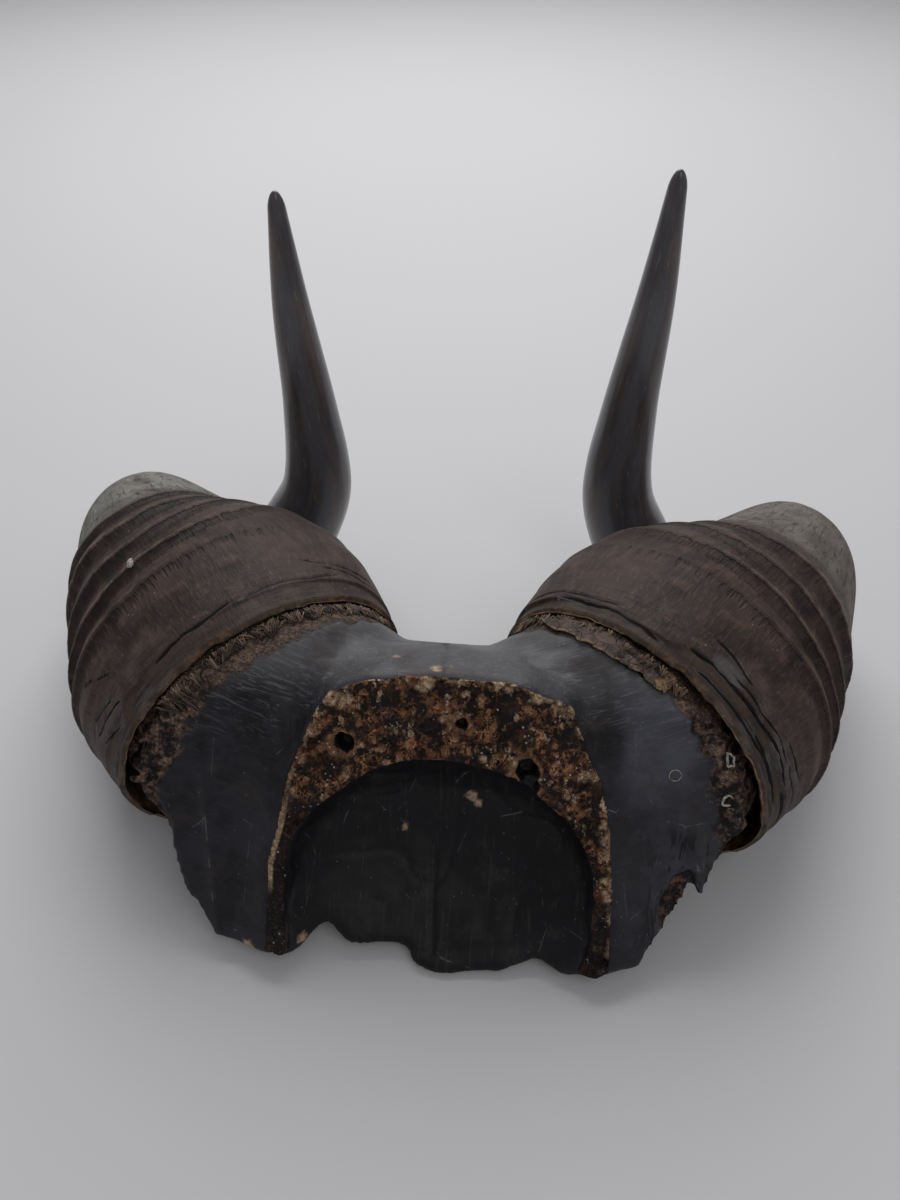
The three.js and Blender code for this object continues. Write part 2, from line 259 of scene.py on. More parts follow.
# Lowest edge of the bone, snapped and ragged: across and up, in the frame of the cut.
SNAPPED_EDGE = np.array([
    [-120, 60], [-92, 52], [-87.5, 44], [-85.3, 39], [-84.6, 31], [-83.3, 25.5], [-81.5, 19],
    [-79.3, 14.8], [-76.2, 12], [-73.5, 6.5], [-70, 1], [-63, -3], [-57, -4], [-50, -3],
    [-43, -2], [-40, 3], [-35, 7], [-31, 3], [-26.5, 0], [-17, 0.5], [-8.5, -0.5], [-6, -5],
    [3, -7], [12, -6], [22.5, -5], [30, -2], [35, 0.5], [38, -2], [43.5, -3.5], [50, -1.5],
    [58, -1], [67, -1], [69, 7], [71, 12], [74, 15], [78, 22], [81.6, 31.5], [84.3, 26.4],
    [87.5, 38.5], [92, 46], [120, 60],
])
SNAPPED_DEPTH = 26
FLOOR_GAP = 0.05
# Outline of the sawn face of the braincase, which the flanks beside it fall away from.
CUT_OUTLINE = np.array([
    [-52.3, -16], [-52.3, 2], [-51.4, 32], [-48.3, 45], [-45.5, 61], [-39.8, 76], [-35.4, 87],
    [-28.5, 91], [-19.6, 95.4], [-8.5, 95.5], [2.9, 94.5], [20.7, 94], [36.7, 88.5], [42.6, 83],
    [48.3, 67.5], [52.2, 52], [54.5, 33.5], [55.7, 6.4], [55.7, -16],
])
FLANK_DROP, FLANK_WIDTH = 5.5, 16  # how far the flanks fall away, and over what width
# Vessel holes: across, up, radius and depth.
VESSEL_HOLES = [(-29, 73, 3.3, 9), (27.3, 67, 3.8, 10), (6.5, 81, 2.1, 6), (28.2, 62.5, 3.2, 7)]
# A snapped patch low on the right flank: across, up, half widths and lean.
BROKEN_PATCH = (77, 25.5, 5.0, 10.5, 0.30)
# Ridges down the flanks: across and up of the two ends, height and half width.
FLANK_RIDGES = [
    (-74, 62, -69, 2, 1.5, 2.6), (66, 40, 72, -2, 1.6, 2.4), (-62, 55, -58, 5, -0.8, 4),
    (60, 62, 62, 12, -0.9, 4), (68, 60, 77, 40, -0.8, 3),
]
# The hollow of the braincase: its middle and half width across, and where its wall begins and ends.
VAULT_MIDDLE, VAULT_HALF, VAULT_START, VAULT_END = 1.7, 49, 2, 27


def outside_outline(x, y, outline):
    """Distance from a closed outline, negative inside it."""
    nearest = np.full(x.shape, 1e9)
    inside = np.zeros(x.shape, dtype=bool)
    for (ax, ay), (bx, by) in zip(outline, np.roll(outline, -1, axis=0)):
        share = ((x - ax) * (bx - ax) + (y - ay) * (by - ay)) / ((bx - ax) ** 2 + (by - ay) ** 2)
        share = np.clip(share, 0, 1)
        nearest = np.minimum(nearest, np.hypot(x - ax - share * (bx - ax), y - ay - share * (by - ay)))
        if ay != by:
            spans = (ay > y) != (by > y)
            inside ^= spans & (x < ax + (bx - ax) * (y - ay) / (by - ay))
    return np.where(inside, -nearest, nearest)


def cut_face_pits(x, y):
    """Depth of the open cells of spongy bone in the cut face."""
    flat = np.stack([x, y, np.zeros_like(x)], axis=1)
    lumps = 0.5 + 0.5 * wander(flat, 2.3)
    small = 0.5 + 0.5 * wander(flat + 50, 1.15)
    patches = soft_step(wander(flat + 90, 8), -0.6, 0.3)
    open_cells = soft_step(lumps, 0.35, 0.7) + 0.8 * soft_step(small, 0.4, 0.75)
    return 0.25 + patches * (0.5 + 1.35 * open_cells)
def in_patch(x, y):
    """1 in the middle of the snapped patch, and 0 on its edge."""
    middle_x, middle_up, half_wide, half_high, lean = BROKEN_PATCH
    beside = x - middle_x - lean * (y - middle_up)
    return 1 - np.hypot(beside / half_wide, (y - middle_up) / half_high)


mesh_x, mesh_up = np.meshgrid(LINES[0], LINES[1], indexing="ij")


def face_wander(level, size):
    """Soft random values over the lines of the cut face, different at each level."""
    flat = np.stack([mesh_x.ravel(), mesh_up.ravel(), np.full(mesh_x.size, level)], axis=1)
    return wander(flat, size).reshape(mesh_x.shape)


pits = cut_face_pits(mesh_x.ravel(), mesh_up.ravel()).reshape(mesh_x.shape)
from_outline = outside_outline(mesh_x, mesh_up, CUT_OUTLINE)
from_outline += 0.5 * face_wander(9, 3)
flank = 0.9 + FLANK_DROP * soft_step(from_outline, 0, FLANK_WIDTH)
for foot_x, foot_up, head_x, head_up, rise, half_width in FLANK_RIDGES:
    share = np.clip((mesh_up - foot_up) / (head_up - foot_up), 0, 1)
    beside = mesh_x - foot_x - share * (head_x - foot_x)
    low_end, high_end = min(foot_up, head_up), max(foot_up, head_up)
    ends = soft_step(mesh_up, low_end - 6, low_end + 6)
    ends *= soft_step(mesh_up, high_end + 8, high_end - 8)
    flank -= rise * ends * np.exp(-((beside / half_width) ** 2))
broken = in_patch(mesh_x, mesh_up) + 0.25 * face_wander(40, 4)
flank += soft_step(broken, 0, 0.12) * (2.6 + 1.5 * face_wander(60, 2.4))
pits = np.where(from_outline < 0, pits, flank)
RELIEF_REACH = 3.6  # the relief changes only what lies this near to the surface
COLLAR_START = 12  # how far from the middle of the skull the collars begin
FAR_INSIDE = 9  # a depth that leaves the bone as it is
near = np.nonzero(np.abs(field) < RELIEF_REACH)
places = np.stack([lines[index] for lines, index in zip(LINES, near)], axis=1)
points = from_cut(places)
swell = 0.45 * wander(points, 13) + 0.22 * wander(points, 5.5) + 0.07 * wander(points, 1.7)
inside_vault = np.abs(places[:, 0] - VAULT_MIDDLE) < VAULT_HALF
inside_vault &= (places[:, 2] > VAULT_START) & (places[:, 2] < VAULT_END)
veins = np.exp(-((wander(points + 70, 17) / 0.07) ** 2))
swell -= np.where(inside_vault, 0.30 * veins, 0.12 * veins)
middle_groove = np.exp(-(((places[:, 0] + 0.5 + 1.5 * wander(points, 20)) / 0.9) ** 2))
swell -= np.where(inside_vault & (places[:, 2] > 8), 0.6 * middle_groove, 0)
for side in (-1, 1):
    behind, angle = collar_place(points, side)
    width = np.interp(angle, COLLAR_ANGLES, COLLAR_WIDTHS[side])
    depth = np.interp(angle, COLLAR_ANGLES, COLLAR_DEPTHS[side])
    inward = width + 2.4 * wander(points, 4.5) + 0.9 * wander(points, 1.9) - behind
    own = side * points[:, 0] > COLLAR_START
    low_side = soft_step(angle, -95, -60)
    lumps = soft_step(wander(points + 30, 3.6), -0.15, 0.55)
    crumbs = 0.5 + 0.5 * wander(points + 60, 2.1)
    hollows = 0.4 + 1.2 * low_side
    rough = hollows * (1.7 * lumps + 1.1 * crumbs * crumbs) - 0.9 * low_side
    swell -= np.where(own, soft_step(inward, 0, 1.5) * (depth + rough), 0)
ragged = np.interp(places[:, 0], *SNAPPED_EDGE.T) + 0.7 * wander(points, 3.2)
ragged += 0.5 * wander(points, 1.4)
over_edge = np.where(places[:, 2] < SNAPPED_DEPTH, places[:, 1] - ragged, FAR_INSIDE)
field[near] = np.minimum(field[near] + swell, over_edge)
field = np.minimum(field, deep - pits[:, :, None])
for hole_x, hole_up, radius, depth in VESSEL_HOLES:
    reach = np.hypot(across - hole_x, (up - hole_up) * 0.9) - radius * (1 - 0.3 * deep / depth)
    reach = reach + 0.35 * np.sin(1.9 * across + hole_x) * np.cos(1.7 * up)
    field = np.minimum(field, np.maximum(reach, 0.5 * (deep - depth)))
height = SAW_FOOT[2] + SAW_WAYS[1, 2] * up + SAW_WAYS[2, 2] * deep
field = np.minimum(field, height - FLOOR_GAP)
for side in (-1, 1):
    middle, along, _, _ = rim_frame(side)
    slopes = SAW_WAYS @ along
    reach = (SAW_FOOT - middle) @ along
    for line, slope in zip((across, up, deep), slopes):
        reach = reach + line * slope
    field = np.minimum(field, np.where(side * across > 0, STUB_LENGTH - reach, FAR_INSIDE))
for axis in range(3):  # nothing may touch the border of the grid
    for end in (0, -1):
        field[tuple(end if i == axis else slice(None) for i in range(3))] = -1


def skin(field, lines):
    """Corners and four-sided faces of the surface where a field over grid lines is zero."""
    inside = field > 0
    shape = np.array(field.shape)
    strides = np.array([shape[1] * shape[2], shape[2], 1])
    crossings, cells, flips = [], [], []
    for axis in range(3):
        first = [slice(None)] * 3
        second = [slice(None)] * 3
        first[axis], second[axis] = slice(0, -1), slice(1, None)
        cut = np.argwhere(inside[tuple(first)] != inside[tuple(second)])
        step = np.eye(3, dtype=int)[axis]
        here, there = field[tuple(cut.T)], field[tuple((cut + step).T)]
        place = cut.astype(float)
        place[:, axis] += here / (here - there)
        b, c = np.eye(3, dtype=int)[[(axis + 1) % 3, (axis + 2) % 3]]
        around = np.stack([(cut - move) @ strides for move in (0 * b, b, b + c, c)], axis=1)
        crossings.append(np.repeat(place, 4, axis=0))
        cells.append(around)
        flips.append(here > 0)
    faces = np.concatenate(cells)
    ids, owner = np.unique(faces.ravel(), return_inverse=True)
    owner = owner.ravel()
    crossings = np.concatenate(crossings)
    count = np.bincount(owner)
    corners = np.stack([np.bincount(owner, crossings[:, i]) / count for i in range(3)], axis=1)
    faces = owner.reshape(-1, 4)
    flip = np.concatenate(flips)
    faces[flip] = faces[flip][:, ::-1]  # the frame of the cut is left-handed
    places = [np.interp(corners[:, i], np.arange(shape[i]), lines[i]) for i in range(3)]
    return np.stack(places, axis=1), faces


def largest_body(corners, faces):
    """Drops every loose bit, so that one connected body stays."""
    body = np.arange(len(corners))
    while True:
        lowest = body.copy()
        np.minimum.at(lowest, faces.ravel(), np.repeat(body[faces].min(axis=1), 4))
        lowest = lowest[lowest]
        if (lowest == body).all():
            break
        body = lowest
    keep = body == np.bincount(body).argmax()
    new_index = np.cumsum(keep) - 1
    return corners[keep], new_index[faces[keep[faces].all(axis=1)]]


def add_value(mesh, name, value):
    """Keeps a value, or a row of three, at each corner to paint by."""
    kind, field_name = ("FLOAT_VECTOR", "vector") if value.ndim == 2 else ("FLOAT", "value")
    mesh.attributes.new(name, kind, "POINT").data.foreach_set(field_name, value.ravel())


def lay_mesh(name, points, *face_sets, **values):
    """A smooth mesh from corners in millimetres, with values to paint it by."""
    mesh = bpy.data.meshes.new(name)
    every_face = [face for faces in face_sets for face in faces.tolist()]
    mesh.from_pydata((np.asarray(points) * METRES).tolist(), [], every_face, shade_flat=False)
    mesh.validate()
    for value_name, value in values.items():
        add_value(mesh, value_name, value)
    piece = bpy.data.objects.new(name, mesh)
    bpy.context.scene.collection.objects.link(piece)
    return piece


def corner_normals(mesh):
    normals = np.empty(len(mesh.vertices) * 3)
    mesh.vertices.foreach_get("normal", normals)
    return normals.reshape(-1, 3)


places, faces = largest_body(*skin(field, LINES))
points = from_cut(places)
collar = np.full(len(points), -20.0)
around = np.zeros(len(points))
for side in (-1, 1):
    behind, angle = collar_place(points, side)
    width = np.interp(angle, COLLAR_ANGLES, COLLAR_WIDTHS[side])
    own = side * points[:, 0] > COLLAR_START
    collar = np.where(own, np.maximum(collar, width + 2.2 * wander(points, 4.5) - behind), collar)
    around = np.where(side * points[:, 0] > 0, angle, around)
snapped = places[:, 1] - np.interp(places[:, 0], *SNAPPED_EDGE.T)
snapped = np.where(places[:, 2] < SNAPPED_DEPTH + 3, snapped, 20)
folded = points * [0, 1, 1] + np.abs(points) * [1, 0, 0]
grain_way = unit(np.array([-0.93, -0.12, -0.32]))  # hair marks run from each horn to the middle
grain_side = unit(np.cross(grain_way, [0, 0, 1]))
grain = folded @ np.stack([grain_way, grain_side, np.cross(grain_way, grain_side)]).T
grain[:, 2] += np.where(points[:, 0] > 0, 300, 0)  # so that the two sides differ
# Cream chips of bare bone in and beside the cut: across, up, deep and radius.
PALE_CHIPS = [
    (-33, 87, 1, 2.4), (-29, 86.5, 1, 1.9), (-11, 93.5, 0, 1.7), (-5, 93.3, 0, 2.5),
    (7.5, 91.5, 0, 1.3), (20.8, 93, 0, 2.0), (23, 92.3, 0, 1.3), (29, 90.3, 0, 1.5),
    (35, 88.5, 1, 1.7), (39, 86.5, 1, 1.9), (44.8, 66, 0, 2.4), (43.5, 60, 0, 1.3),
    (51.5, 52, 0, 1.4), (53.5, 33, 0, 1.6), (54, 27, 0, 1.4), (10.2, 48.5, 23, 1.6),
    (12.6, 46.2, 23, 1.0), (-15.3, 98.5, 13, 0.5), (-24, 73, 0, 1.2), (0.5, 83, 0, 1.3),
    (-2, 97, 6, 0.9), (2.5, 97, 7, 0.6), (-60, 0.5, 4, 2.4), (-42, 3, 5, 1.6), (-15.5, 67, 1, 1.4),
    (83.6, 66, 9, 0.9), (14, 70, 1, 1.2), (23.2, 70, 1, 1.0), (-12, 36, 24, 0.8),
]
chip_shape = 0.9 * wander(places, 2.2) + 0.6 * wander(places + 20, 1.1)
pale = np.zeros(len(points))
for chip_x, chip_up, chip_deep, radius in PALE_CHIPS:
    apart = (places - [chip_x, chip_up, chip_deep]) * [1, 1, 0.7]
    reach = radius + chip_shape - np.linalg.norm(apart, axis=1)
    pale = np.maximum(pale, soft_step(reach, -0.4, 0.4))
rims = np.full(len(points), 9.0)
for hole_x, hole_up, radius, _ in VESSEL_HOLES:
    rims = np.minimum(rims, np.hypot(places[:, 0] - hole_x + 0.7, places[:, 1] - hole_up) - radius)
broken = np.where(places[:, 2] < 16, in_patch(places[:, 0], places[:, 1]), -1)
to_edge = -outside_outline(*places[:, :2].T, CUT_OUTLINE)
skull = lay_mesh(
    "skull_plate_bone", points, faces, place=places, grain=grain, collar=collar, snapped=snapped,
    pale=pale, rims=rims, broken=broken, low_side=soft_step(around, -100, -65), to_edge=to_edge,
)
facing = corner_normals(skull.data) @ -SAW_WAYS[2]
on_face = to_edge > -0.8
cut = np.where(on_face & (places[:, 2] < 3.2), soft_step(facing, 0.3, 0.6), 0)
add_value(skull.data, "cut", np.maximum(cut, on_face & (places[:, 2] < 0.5)))
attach(skull, "root")
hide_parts("skull_plate")


class Wire:
    """A socket in a material. Arithmetic on it adds the nodes that the sum needs."""

    def __init__(self, tree, socket=None):
        self.tree = tree
        self.socket = socket

    def node(self, kind, settings=None, inputs=None, output=0):
        made = self.tree.nodes.new(kind)
        for name, value in (settings or {}).items():
            setattr(made, name, value)
        for name, value in (inputs or {}).items():
            if isinstance(value, Wire):
                self.tree.links.new(value.socket, made.inputs[name])
            else:
                made.inputs[name].default_value = value
        return Wire(self.tree, made.outputs[output] if len(made.outputs) else None)

    def sum(self, operation, *terms):
        wide = any(isinstance(t, Wire) and t.socket.type == "VECTOR" for t in terms)
        if wide:
            terms = [(t,) * 3 if isinstance(t, (int, float)) else t for t in terms]
        kind = "ShaderNodeVectorMath" if wide else "ShaderNodeMath"
        return self.node(kind, {"operation": operation}, dict(enumerate(terms)))

    def __add__(self, other):
        return self.sum("ADD", self, other)

    def __radd__(self, other):
        return self.sum("ADD", other, self)

    def __sub__(self, other):
        return self.sum("SUBTRACT", self, other)

    def __rsub__(self, other):
        return self.sum("SUBTRACT", other, self)

    def __mul__(self, other):
        return self.sum("MULTIPLY", self, other)

    def __rmul__(self, other):
        return self.sum("MULTIPLY", other, self)

    def most(self, other):
        return self.sum("MAXIMUM", self, other)

    def part(self, index):
        return self.node("ShaderNodeSeparateXYZ", None, {0: self}, index)

    def step(self, low, high):
        """0 below low and 1 above high, or the other way round, with a soft change."""
        inputs = {0: self, 1: min(low, high), 2: max(low, high)}
        inputs.update({3: float(low > high), 4: float(low < high)})
        return self.node("ShaderNodeMapRange", {"interpolation_type": "SMOOTHSTEP"}, inputs)

    def colours(self, low, high):
        """A colour between two, by this share."""
        ends = [c if isinstance(c, Wire) else (*c, 1.0) for c in (low, high)]
        settings = {"data_type": "RGBA"}
        return self.node("ShaderNodeMix", settings, {0: self, 6: ends[0], 7: ends[1]}, 2)

    def value(self, name, output="Fac"):
        return self.node("ShaderNodeAttribute", {"attribute_name": name}, None, output)

    def spot(self):
        """The place on the piece, in millimetres."""
        return self.node("ShaderNodeTexCoord", None, None, "Object") * (1 / METRES)

    def mottle(self, size, detail=2.0, roughness=0.5, warp=0.0):
        """Cloudy values about 0.5, from a place in millimetres."""
        inputs = {"Vector": self, "Scale": 1 / size, "Detail": detail, "Roughness": roughness}
        return self.node("ShaderNodeTexNoise", None, {**inputs, "Distortion": warp})

    def cells(self, size, feature="F1", output=0):
        inputs = {"Vector": self, "Scale": 1 / size}
        return self.node("ShaderNodeTexVoronoi", {"feature": feature}, inputs, output)


def painted(ground, *coats):
    """A ground colour under coats of others, each laid on by its share."""
    for share, colour in coats:
        ground = share.colours(ground, colour)
    return ground


def start_finish(piece, name):
    material = bpy.data.materials.new(name)
    material.use_nodes = True
    material.node_tree.nodes.clear()
    piece.data.materials.append(material)
    return Wire(material.node_tree)


def end_finish(start, colour, roughness, height, **constants):
    """Closes a material; height is its fine relief in millimetres."""
    bump = start.node("ShaderNodeBump", None, {"Strength": 1.0, "Distance": METRES, "Height": height})
    inputs = {"Base Color": colour, "Roughness": roughness, "Normal": bump}
    shader = start.node("ShaderNodeBsdfPrincipled", None, {**inputs, **constants})
    start.node("ShaderNodeOutputMaterial", None, {"Surface": shader})


BLUE_BLACK, CHARCOAL, SHEEN_AND_WEAR_GREY = (0.009, 0.0092, 0.013), (0.025, 0.025, 0.0335), (0.175, 0.17, 0.175)
PAINTED_SHEEN_BLUE, PAINTED_SHEEN_GREY, BARK_BROWN = (0.155, 0.16, 0.20), (0.15, 0.155, 0.185), (0.038, 0.026, 0.021)
VAULT_SHADE, VAULT_GREY, CREASE_SHADE = (0.0034, 0.0034, 0.0046), (0.085, 0.08, 0.08), (0.004, 0.004, 0.005)
MARROW_BLACK, MARROW_BROWN = (0.0075, 0.006, 0.006), (0.022, 0.011, 0.008)
RUST, OCHRE, HOLE_SHADE = (0.18, 0.062, 0.03), (0.60, 0.30, 0.15), (0.006, 0.005, 0.005)
SHELL_BROWN, SHELL_TAN, LEG_GREY = (0.17, 0.075, 0.038), (0.52, 0.29, 0.15), (0.10, 0.085, 0.075)
CREAM, STAINED_CREAM, GLINT = (0.66, 0.48, 0.31), (0.22, 0.115, 0.058), (0.66, 0.66, 0.70)
TAN, PALE_TAN, TISSUE_BLACK = (0.16, 0.108, 0.076), (0.26, 0.175, 0.12), (0.01, 0.008, 0.007)
CRUST_BROWN, CRUST_TAN, DUST = (0.125, 0.08, 0.062), (0.34, 0.215, 0.14), (0.30, 0.29, 0.28)

bone = start_finish(skull, "stained_bone")
place = bone.value("place", "Vector")
lengthwise = bone.value("grain", "Vector")
across, up, deep = (place.part(i) for i in range(3))
clouds = place.mottle(24, 4, 0.6)
smears = place.mottle(7, 5, 0.65)
blotches = (place + 40.0).mottle(2.6, 6, 0.75)
crumbs = (place + 80.0).mottle(1.0, 4, 0.7)
patches = place.mottle(5.5, 6, 0.7)
hairs = (lengthwise * (0.08, 1.0, 1.0)).mottle(0.8, 3, 0.6, 1.0)
strands = (lengthwise * (0.20, 1.0, 1.0)).mottle(3.0, 4, 0.6, 0.8)
collar = bone.value("collar")
near_horn = collar.step(-46, -2)
crown = up.step(84, 99) * deep.step(1.5, 5)
sheen = (near_horn * (0.12 + 0.88 * up.step(62, 88))).most(crown)
hair_lines = hairs.step(0.50, 0.64) * strands.step(0.36, 0.56) * sheen
right_flank_sheen = across.step(50, 62) * across.step(88, 72) * up.step(50, 68) * up.step(102, 88)
low_right_flank_sheen = across.step(54, 72) * up.step(-2, 24) * up.step(66, 50)
brown_haze = (place + 150.0).mottle(15, 4, 0.6).step(0.52, 0.68)
inner_wall = deep.step(3, 6) * across.step(-52, -48) * across.step(58, 54) * up.step(82, 78)
drips = (place * (1.0, 0.10, 0.10)).mottle(1.5, 4, 0.65, 0.5)
haze = (place + 110.0).mottle(11, 5, 0.65).step(0.54, 0.70)
scratch_paths = (place * (1.0, 0.45, 0.45) + 60.0).cells(19, "DISTANCE_TO_EDGE")
scratches = scratch_paths.step(0.006, 0.001) * smears.step(0.50, 0.62)
wrinkle_area = across.step(62, 72) * up.step(54, 44) * up.step(2, 12) * (1 - inner_wall)
wrinkles = (place * (1.0, 0.18, 0.18)).mottle(2.2, 3, 0.6, 0.6).step(0.52, 0.62) * wrinkle_area
dust = (place + 30.0).cells(2.6).step(0.13, 0.06) * smears.step(0.46, 0.60)
smooth_bone = painted(
    (clouds * 0.5 + smears * 0.5).step(0.38, 0.62).colours(BLUE_BLACK, CHARCOAL),
    # The grey hair lines and the paler crown are partly worn bone and partly painted sheen.
    (0.50 * hair_lines, SHEEN_AND_WEAR_GREY),
    (0.40 * crown, SHEEN_AND_WEAR_GREY),
    # Only the right flank is lightened with pale blue and grey: painted sheen.
    (right_flank_sheen * (0.20 + 0.42 * smears), PAINTED_SHEEN_BLUE),
    (low_right_flank_sheen * (0.05 + 0.24 * smears), PAINTED_SHEEN_GREY),
    (0.5 * brown_haze, BARK_BROWN),
    # The wall of the hollow is painted blacker than the stained bone: painted shade.
    (inner_wall * 0.85, VAULT_SHADE),
    (inner_wall * (0.16 * haze + 0.18 * drips.step(0.56, 0.70)), VAULT_GREY),
    (0.55 * scratches, SHEEN_AND_WEAR_GREY),
    # The wrinkles are painted near black along their creases: painted shade.
    (0.75 * wrinkles, CREASE_SHADE),
    (0.4 * dust, DUST),
)

# The cut: rusty walls of spongy bone round black cells, with bare cream patches.
curled = place * (1.0, 0.75, 0.75) + 1.3 * (place + 200.0).mottle(1.8, 2, 0.5)
walls = curled.cells(1.5, "DISTANCE_TO_EDGE").step(0.19, 0.04)
wide_walls = curled.cells(3.0, "DISTANCE_TO_EDGE").step(0.12, 0.02)
net = (walls * 0.7).most(wide_walls) * (patches * 0.7 + blotches * 0.3).step(0.44, 0.58)
grains = curled.cells(1.7, output=1)
grain_red, grain_green = grains.part(0), grains.part(1)
filled = grain_red.step(0.60, 0.68) * (0.5 * patches + 0.5 * smears).step(0.45, 0.55)
bare_grains = grain_green.step(0.88, 0.92) * blotches.step(0.46, 0.56)
shadows = (place + 310.0).mottle(9, 3, 0.6).step(0.50, 0.60)
rims = bone.value("rims")
shell = rims.step(2.8, 0.8) * (blotches - rims * 0.04).step(0.32, 0.46)
left_leg = up.step(60, 46) * across.step(-20, -40)
legs = up.step(34, 18).most(left_leg)
to_edge = bone.value("to_edge")
edge_chips = to_edge.step(3.2, 0.6) * (place + 20.0).mottle(5, 4, 0.6).step(0.54, 0.62)
thin_edge = to_edge.step(1.0, 0.2) * (place + 35.0).mottle(9, 3, 0.6).step(0.46, 0.58)
chips = (edge_chips * up.step(20, 60)).most(0.55 * thin_edge)
chips = chips * crumbs.step(0.30, 0.48) * (1 - left_leg)
chips = chips.most(0.9 * (to_edge.step(1.3, 0.5) * left_leg * up.step(20, 28)))
pale = bone.value("pale")
cream = (crumbs * 0.6 + blotches * 0.4).step(0.36, 0.60).colours(STAINED_CREAM, CREAM)
glints = (place + 250.0).cells(2.0).step(0.22, 0.13)
glints = glints * (place + 70.0).mottle(8, 2, 0.5).step(0.50, 0.60)
spongy_bone = painted(
    smears.step(0.44, 0.62).colours(MARROW_BLACK, MARROW_BROWN),
    (net, (0.5 * blotches + 0.5 * crumbs).step(0.42, 0.60).colours(RUST, OCHRE)),
    (0.85 * filled, grain_green.colours(RUST, OCHRE)),
    (bare_grains * 0.85, CREAM),
    (0.80 * shadows, MARROW_BLACK),
    (0.9 * shell, crumbs.colours(SHELL_BROWN, SHELL_TAN)),
    # The vessel holes are painted near black inside: painted shade.
    (rims.step(-0.3, -1.4), HOLE_SHADE),
    (legs * 0.85, crumbs.step(0.56, 0.70).colours(MARROW_BLACK, LEG_GREY)),
    (chips.most(pale * crumbs.step(0.26, 0.42)), cream),
    (0.85 * glints, GLINT),
)

# The collar under each lip: matted tan tissue on top, and brown spongy lumps lower down.
felt = (lengthwise * (0.30, 1.0, 1.0)).mottle(0.9, 4, 0.65, 0.8)
matted = painted(
    felt.step(0.42, 0.66).colours(BARK_BROWN, TAN),
    (0.6 * crumbs.step(0.50, 0.64), PALE_TAN),
    (0.85 * patches.step(0.45, 0.37), TISSUE_BLACK),
)
lumps = (0.5 * patches + 0.5 * blotches).step(0.46, 0.56)
crust = painted(
    lumps.colours(MARROW_BLACK, CRUST_BROWN),
    (crumbs.step(0.50, 0.62) * lumps * patches.step(0.44, 0.58), CRUST_TAN),
)
cut = bone.value("cut")
rough_places = (collar + 3.0 * (blotches - 0.5)).step(-0.4, 1.6)
broken = (bone.value("broken") + 0.5 * (blotches - 0.5)).step(0.0, 0.15)
snapped = (bone.value("snapped") - 3.0 * (blotches - 0.5)).step(1.6, 0.2)
snapped_bone = blotches.step(0.48, 0.60).colours(MARROW_BLACK, crumbs.colours(RUST, TAN))
colour = painted(
    smooth_bone,
    (rough_places, bone.value("low_side").colours(matted, crust)),
    (0.8 * snapped.most(broken), snapped_bone),
    (pale * (1 - cut) * 0.8, cream),
    (cut.step(0.35, 0.65), spongy_bone),
)
open_bone = cut.most(rough_places).most(snapped).most(broken)
fine_height = (1 - open_bone) * (0.12 * hairs * sheen + 0.10 * smears + 0.05 * drips * inner_wall)
rough_height = open_bone * (0.55 * blotches + 0.35 * crumbs) + cut * (0.8 * net + 0.5 * filled)
height = fine_height + rough_height + 0.25 * felt * rough_places - 0.4 * wrinkles
roughness = 0.40 + 0.14 * smears + 0.28 * open_bone - 0.06 * crown
end_finish(bone, colour, roughness, height, **{"Specular IOR Level": 0.27})


# ---- Horn sheaths ------------------------------------------------------------------------
# Two hollow sheaths of keratin, each grown over its stub of bone. The swollen base has soft
# rings, six on the left sheath and five on the right. The outer side of the bend is weathered
# grey, and the tip is worn smooth and dark.
HORN_STATIONS = np.array([  # x, y, z of the middle, and the wide and thin half widths
    [60.5, -10, 51, RIM_HALF_WIDE, RIM_HALF_THIN],
    [85.5, 25, 47.5, 57.5, 46.5],
    [112.5, 56, 45, 41.5, 40.5],
    [129, 87, 41, 27.5, 31],
    [110, 106, 23.3, 21.3, 21.3],
    [85, 112.5, 19.1, 19.3, 19.3],
    [75, 112.5, 32.5, 17.3, 17.3],
    [64.5, 113, 59.5, 14.7, 14.7],
    [64, 113, 98, 10.8, 10.8],
    [67, 114, 143, 7, 7],
    [68, 114.5, 185, 2.6, 2.6],
])
RIDGE_Y = -27.16  # the stations are measured from the ridge between the horns
ELBOW = 6  # the station from which a tip is longer or shorter than its twin
TIP_LENGTHENED = {-1: -5.5, 1: 5.5}
LIP_WIDTH, LIP_STEP = 9.2, 0.9
LIP_BEVEL, BEVEL_LENGTH = 1.2, 2.0
RAGGED_LENGTH, T_PER_MM = 4, 0.0023  # how far the ragged rim reaches, and t there for each mm
FIRST_RING, RING_SPACING, RING_COUNT = {-1: 0.064, 1: 0.058}, 0.0315, {-1: 6, 1: 5}
RING_HEIGHT, RING_SINK, RING_FADE, RING_RISE = 2.0, 0.38, 0.06, 0.30
LIP_WALL, DEEP_WALL, SOCKET_END = 2.0, 9.0, 0.17
# Splits in the sheath near its rim: angle and length of the two ends, and depth.
SPLITS = {
    -1: [(-70, 9.0, -104, 10.4, 1.0), (-104, 10.4, -150, 11.5, 0.5), (-41, 32, -55, 22, 1.2),
         (-28, 17, -54, 10, 0.9), (-33, 21, -50, 14, 0.7), (-30, 12, -46, 5.5, 0.7),
         (-132, 20, -172, 15, 0.6), (-140, 16, -176, 11, 0.6)],
    1: [(-97, 9.0, -28, 10.6, 1.2), (-90, 4.4, -34, 4.8, 0.9), (-90, 17.5, -70, 15.5, 1.0),
        (-48, 16, -26, 19, 1.1), (-78, 13, -38, 12.5, 0.8), (-60, 6, -25, 5, 0.9),
        (-40, 14, -14, 14.5, 0.9), (-172, 10, -118, 8, 0.6), (-150, 6.5, -100, 4.6, 0.8),
        (-30, 9, -6, 8.5, 0.8), (-20, 20, -4, 21, 0.7)],
}
SPLIT_HALF_WIDTH = 0.42
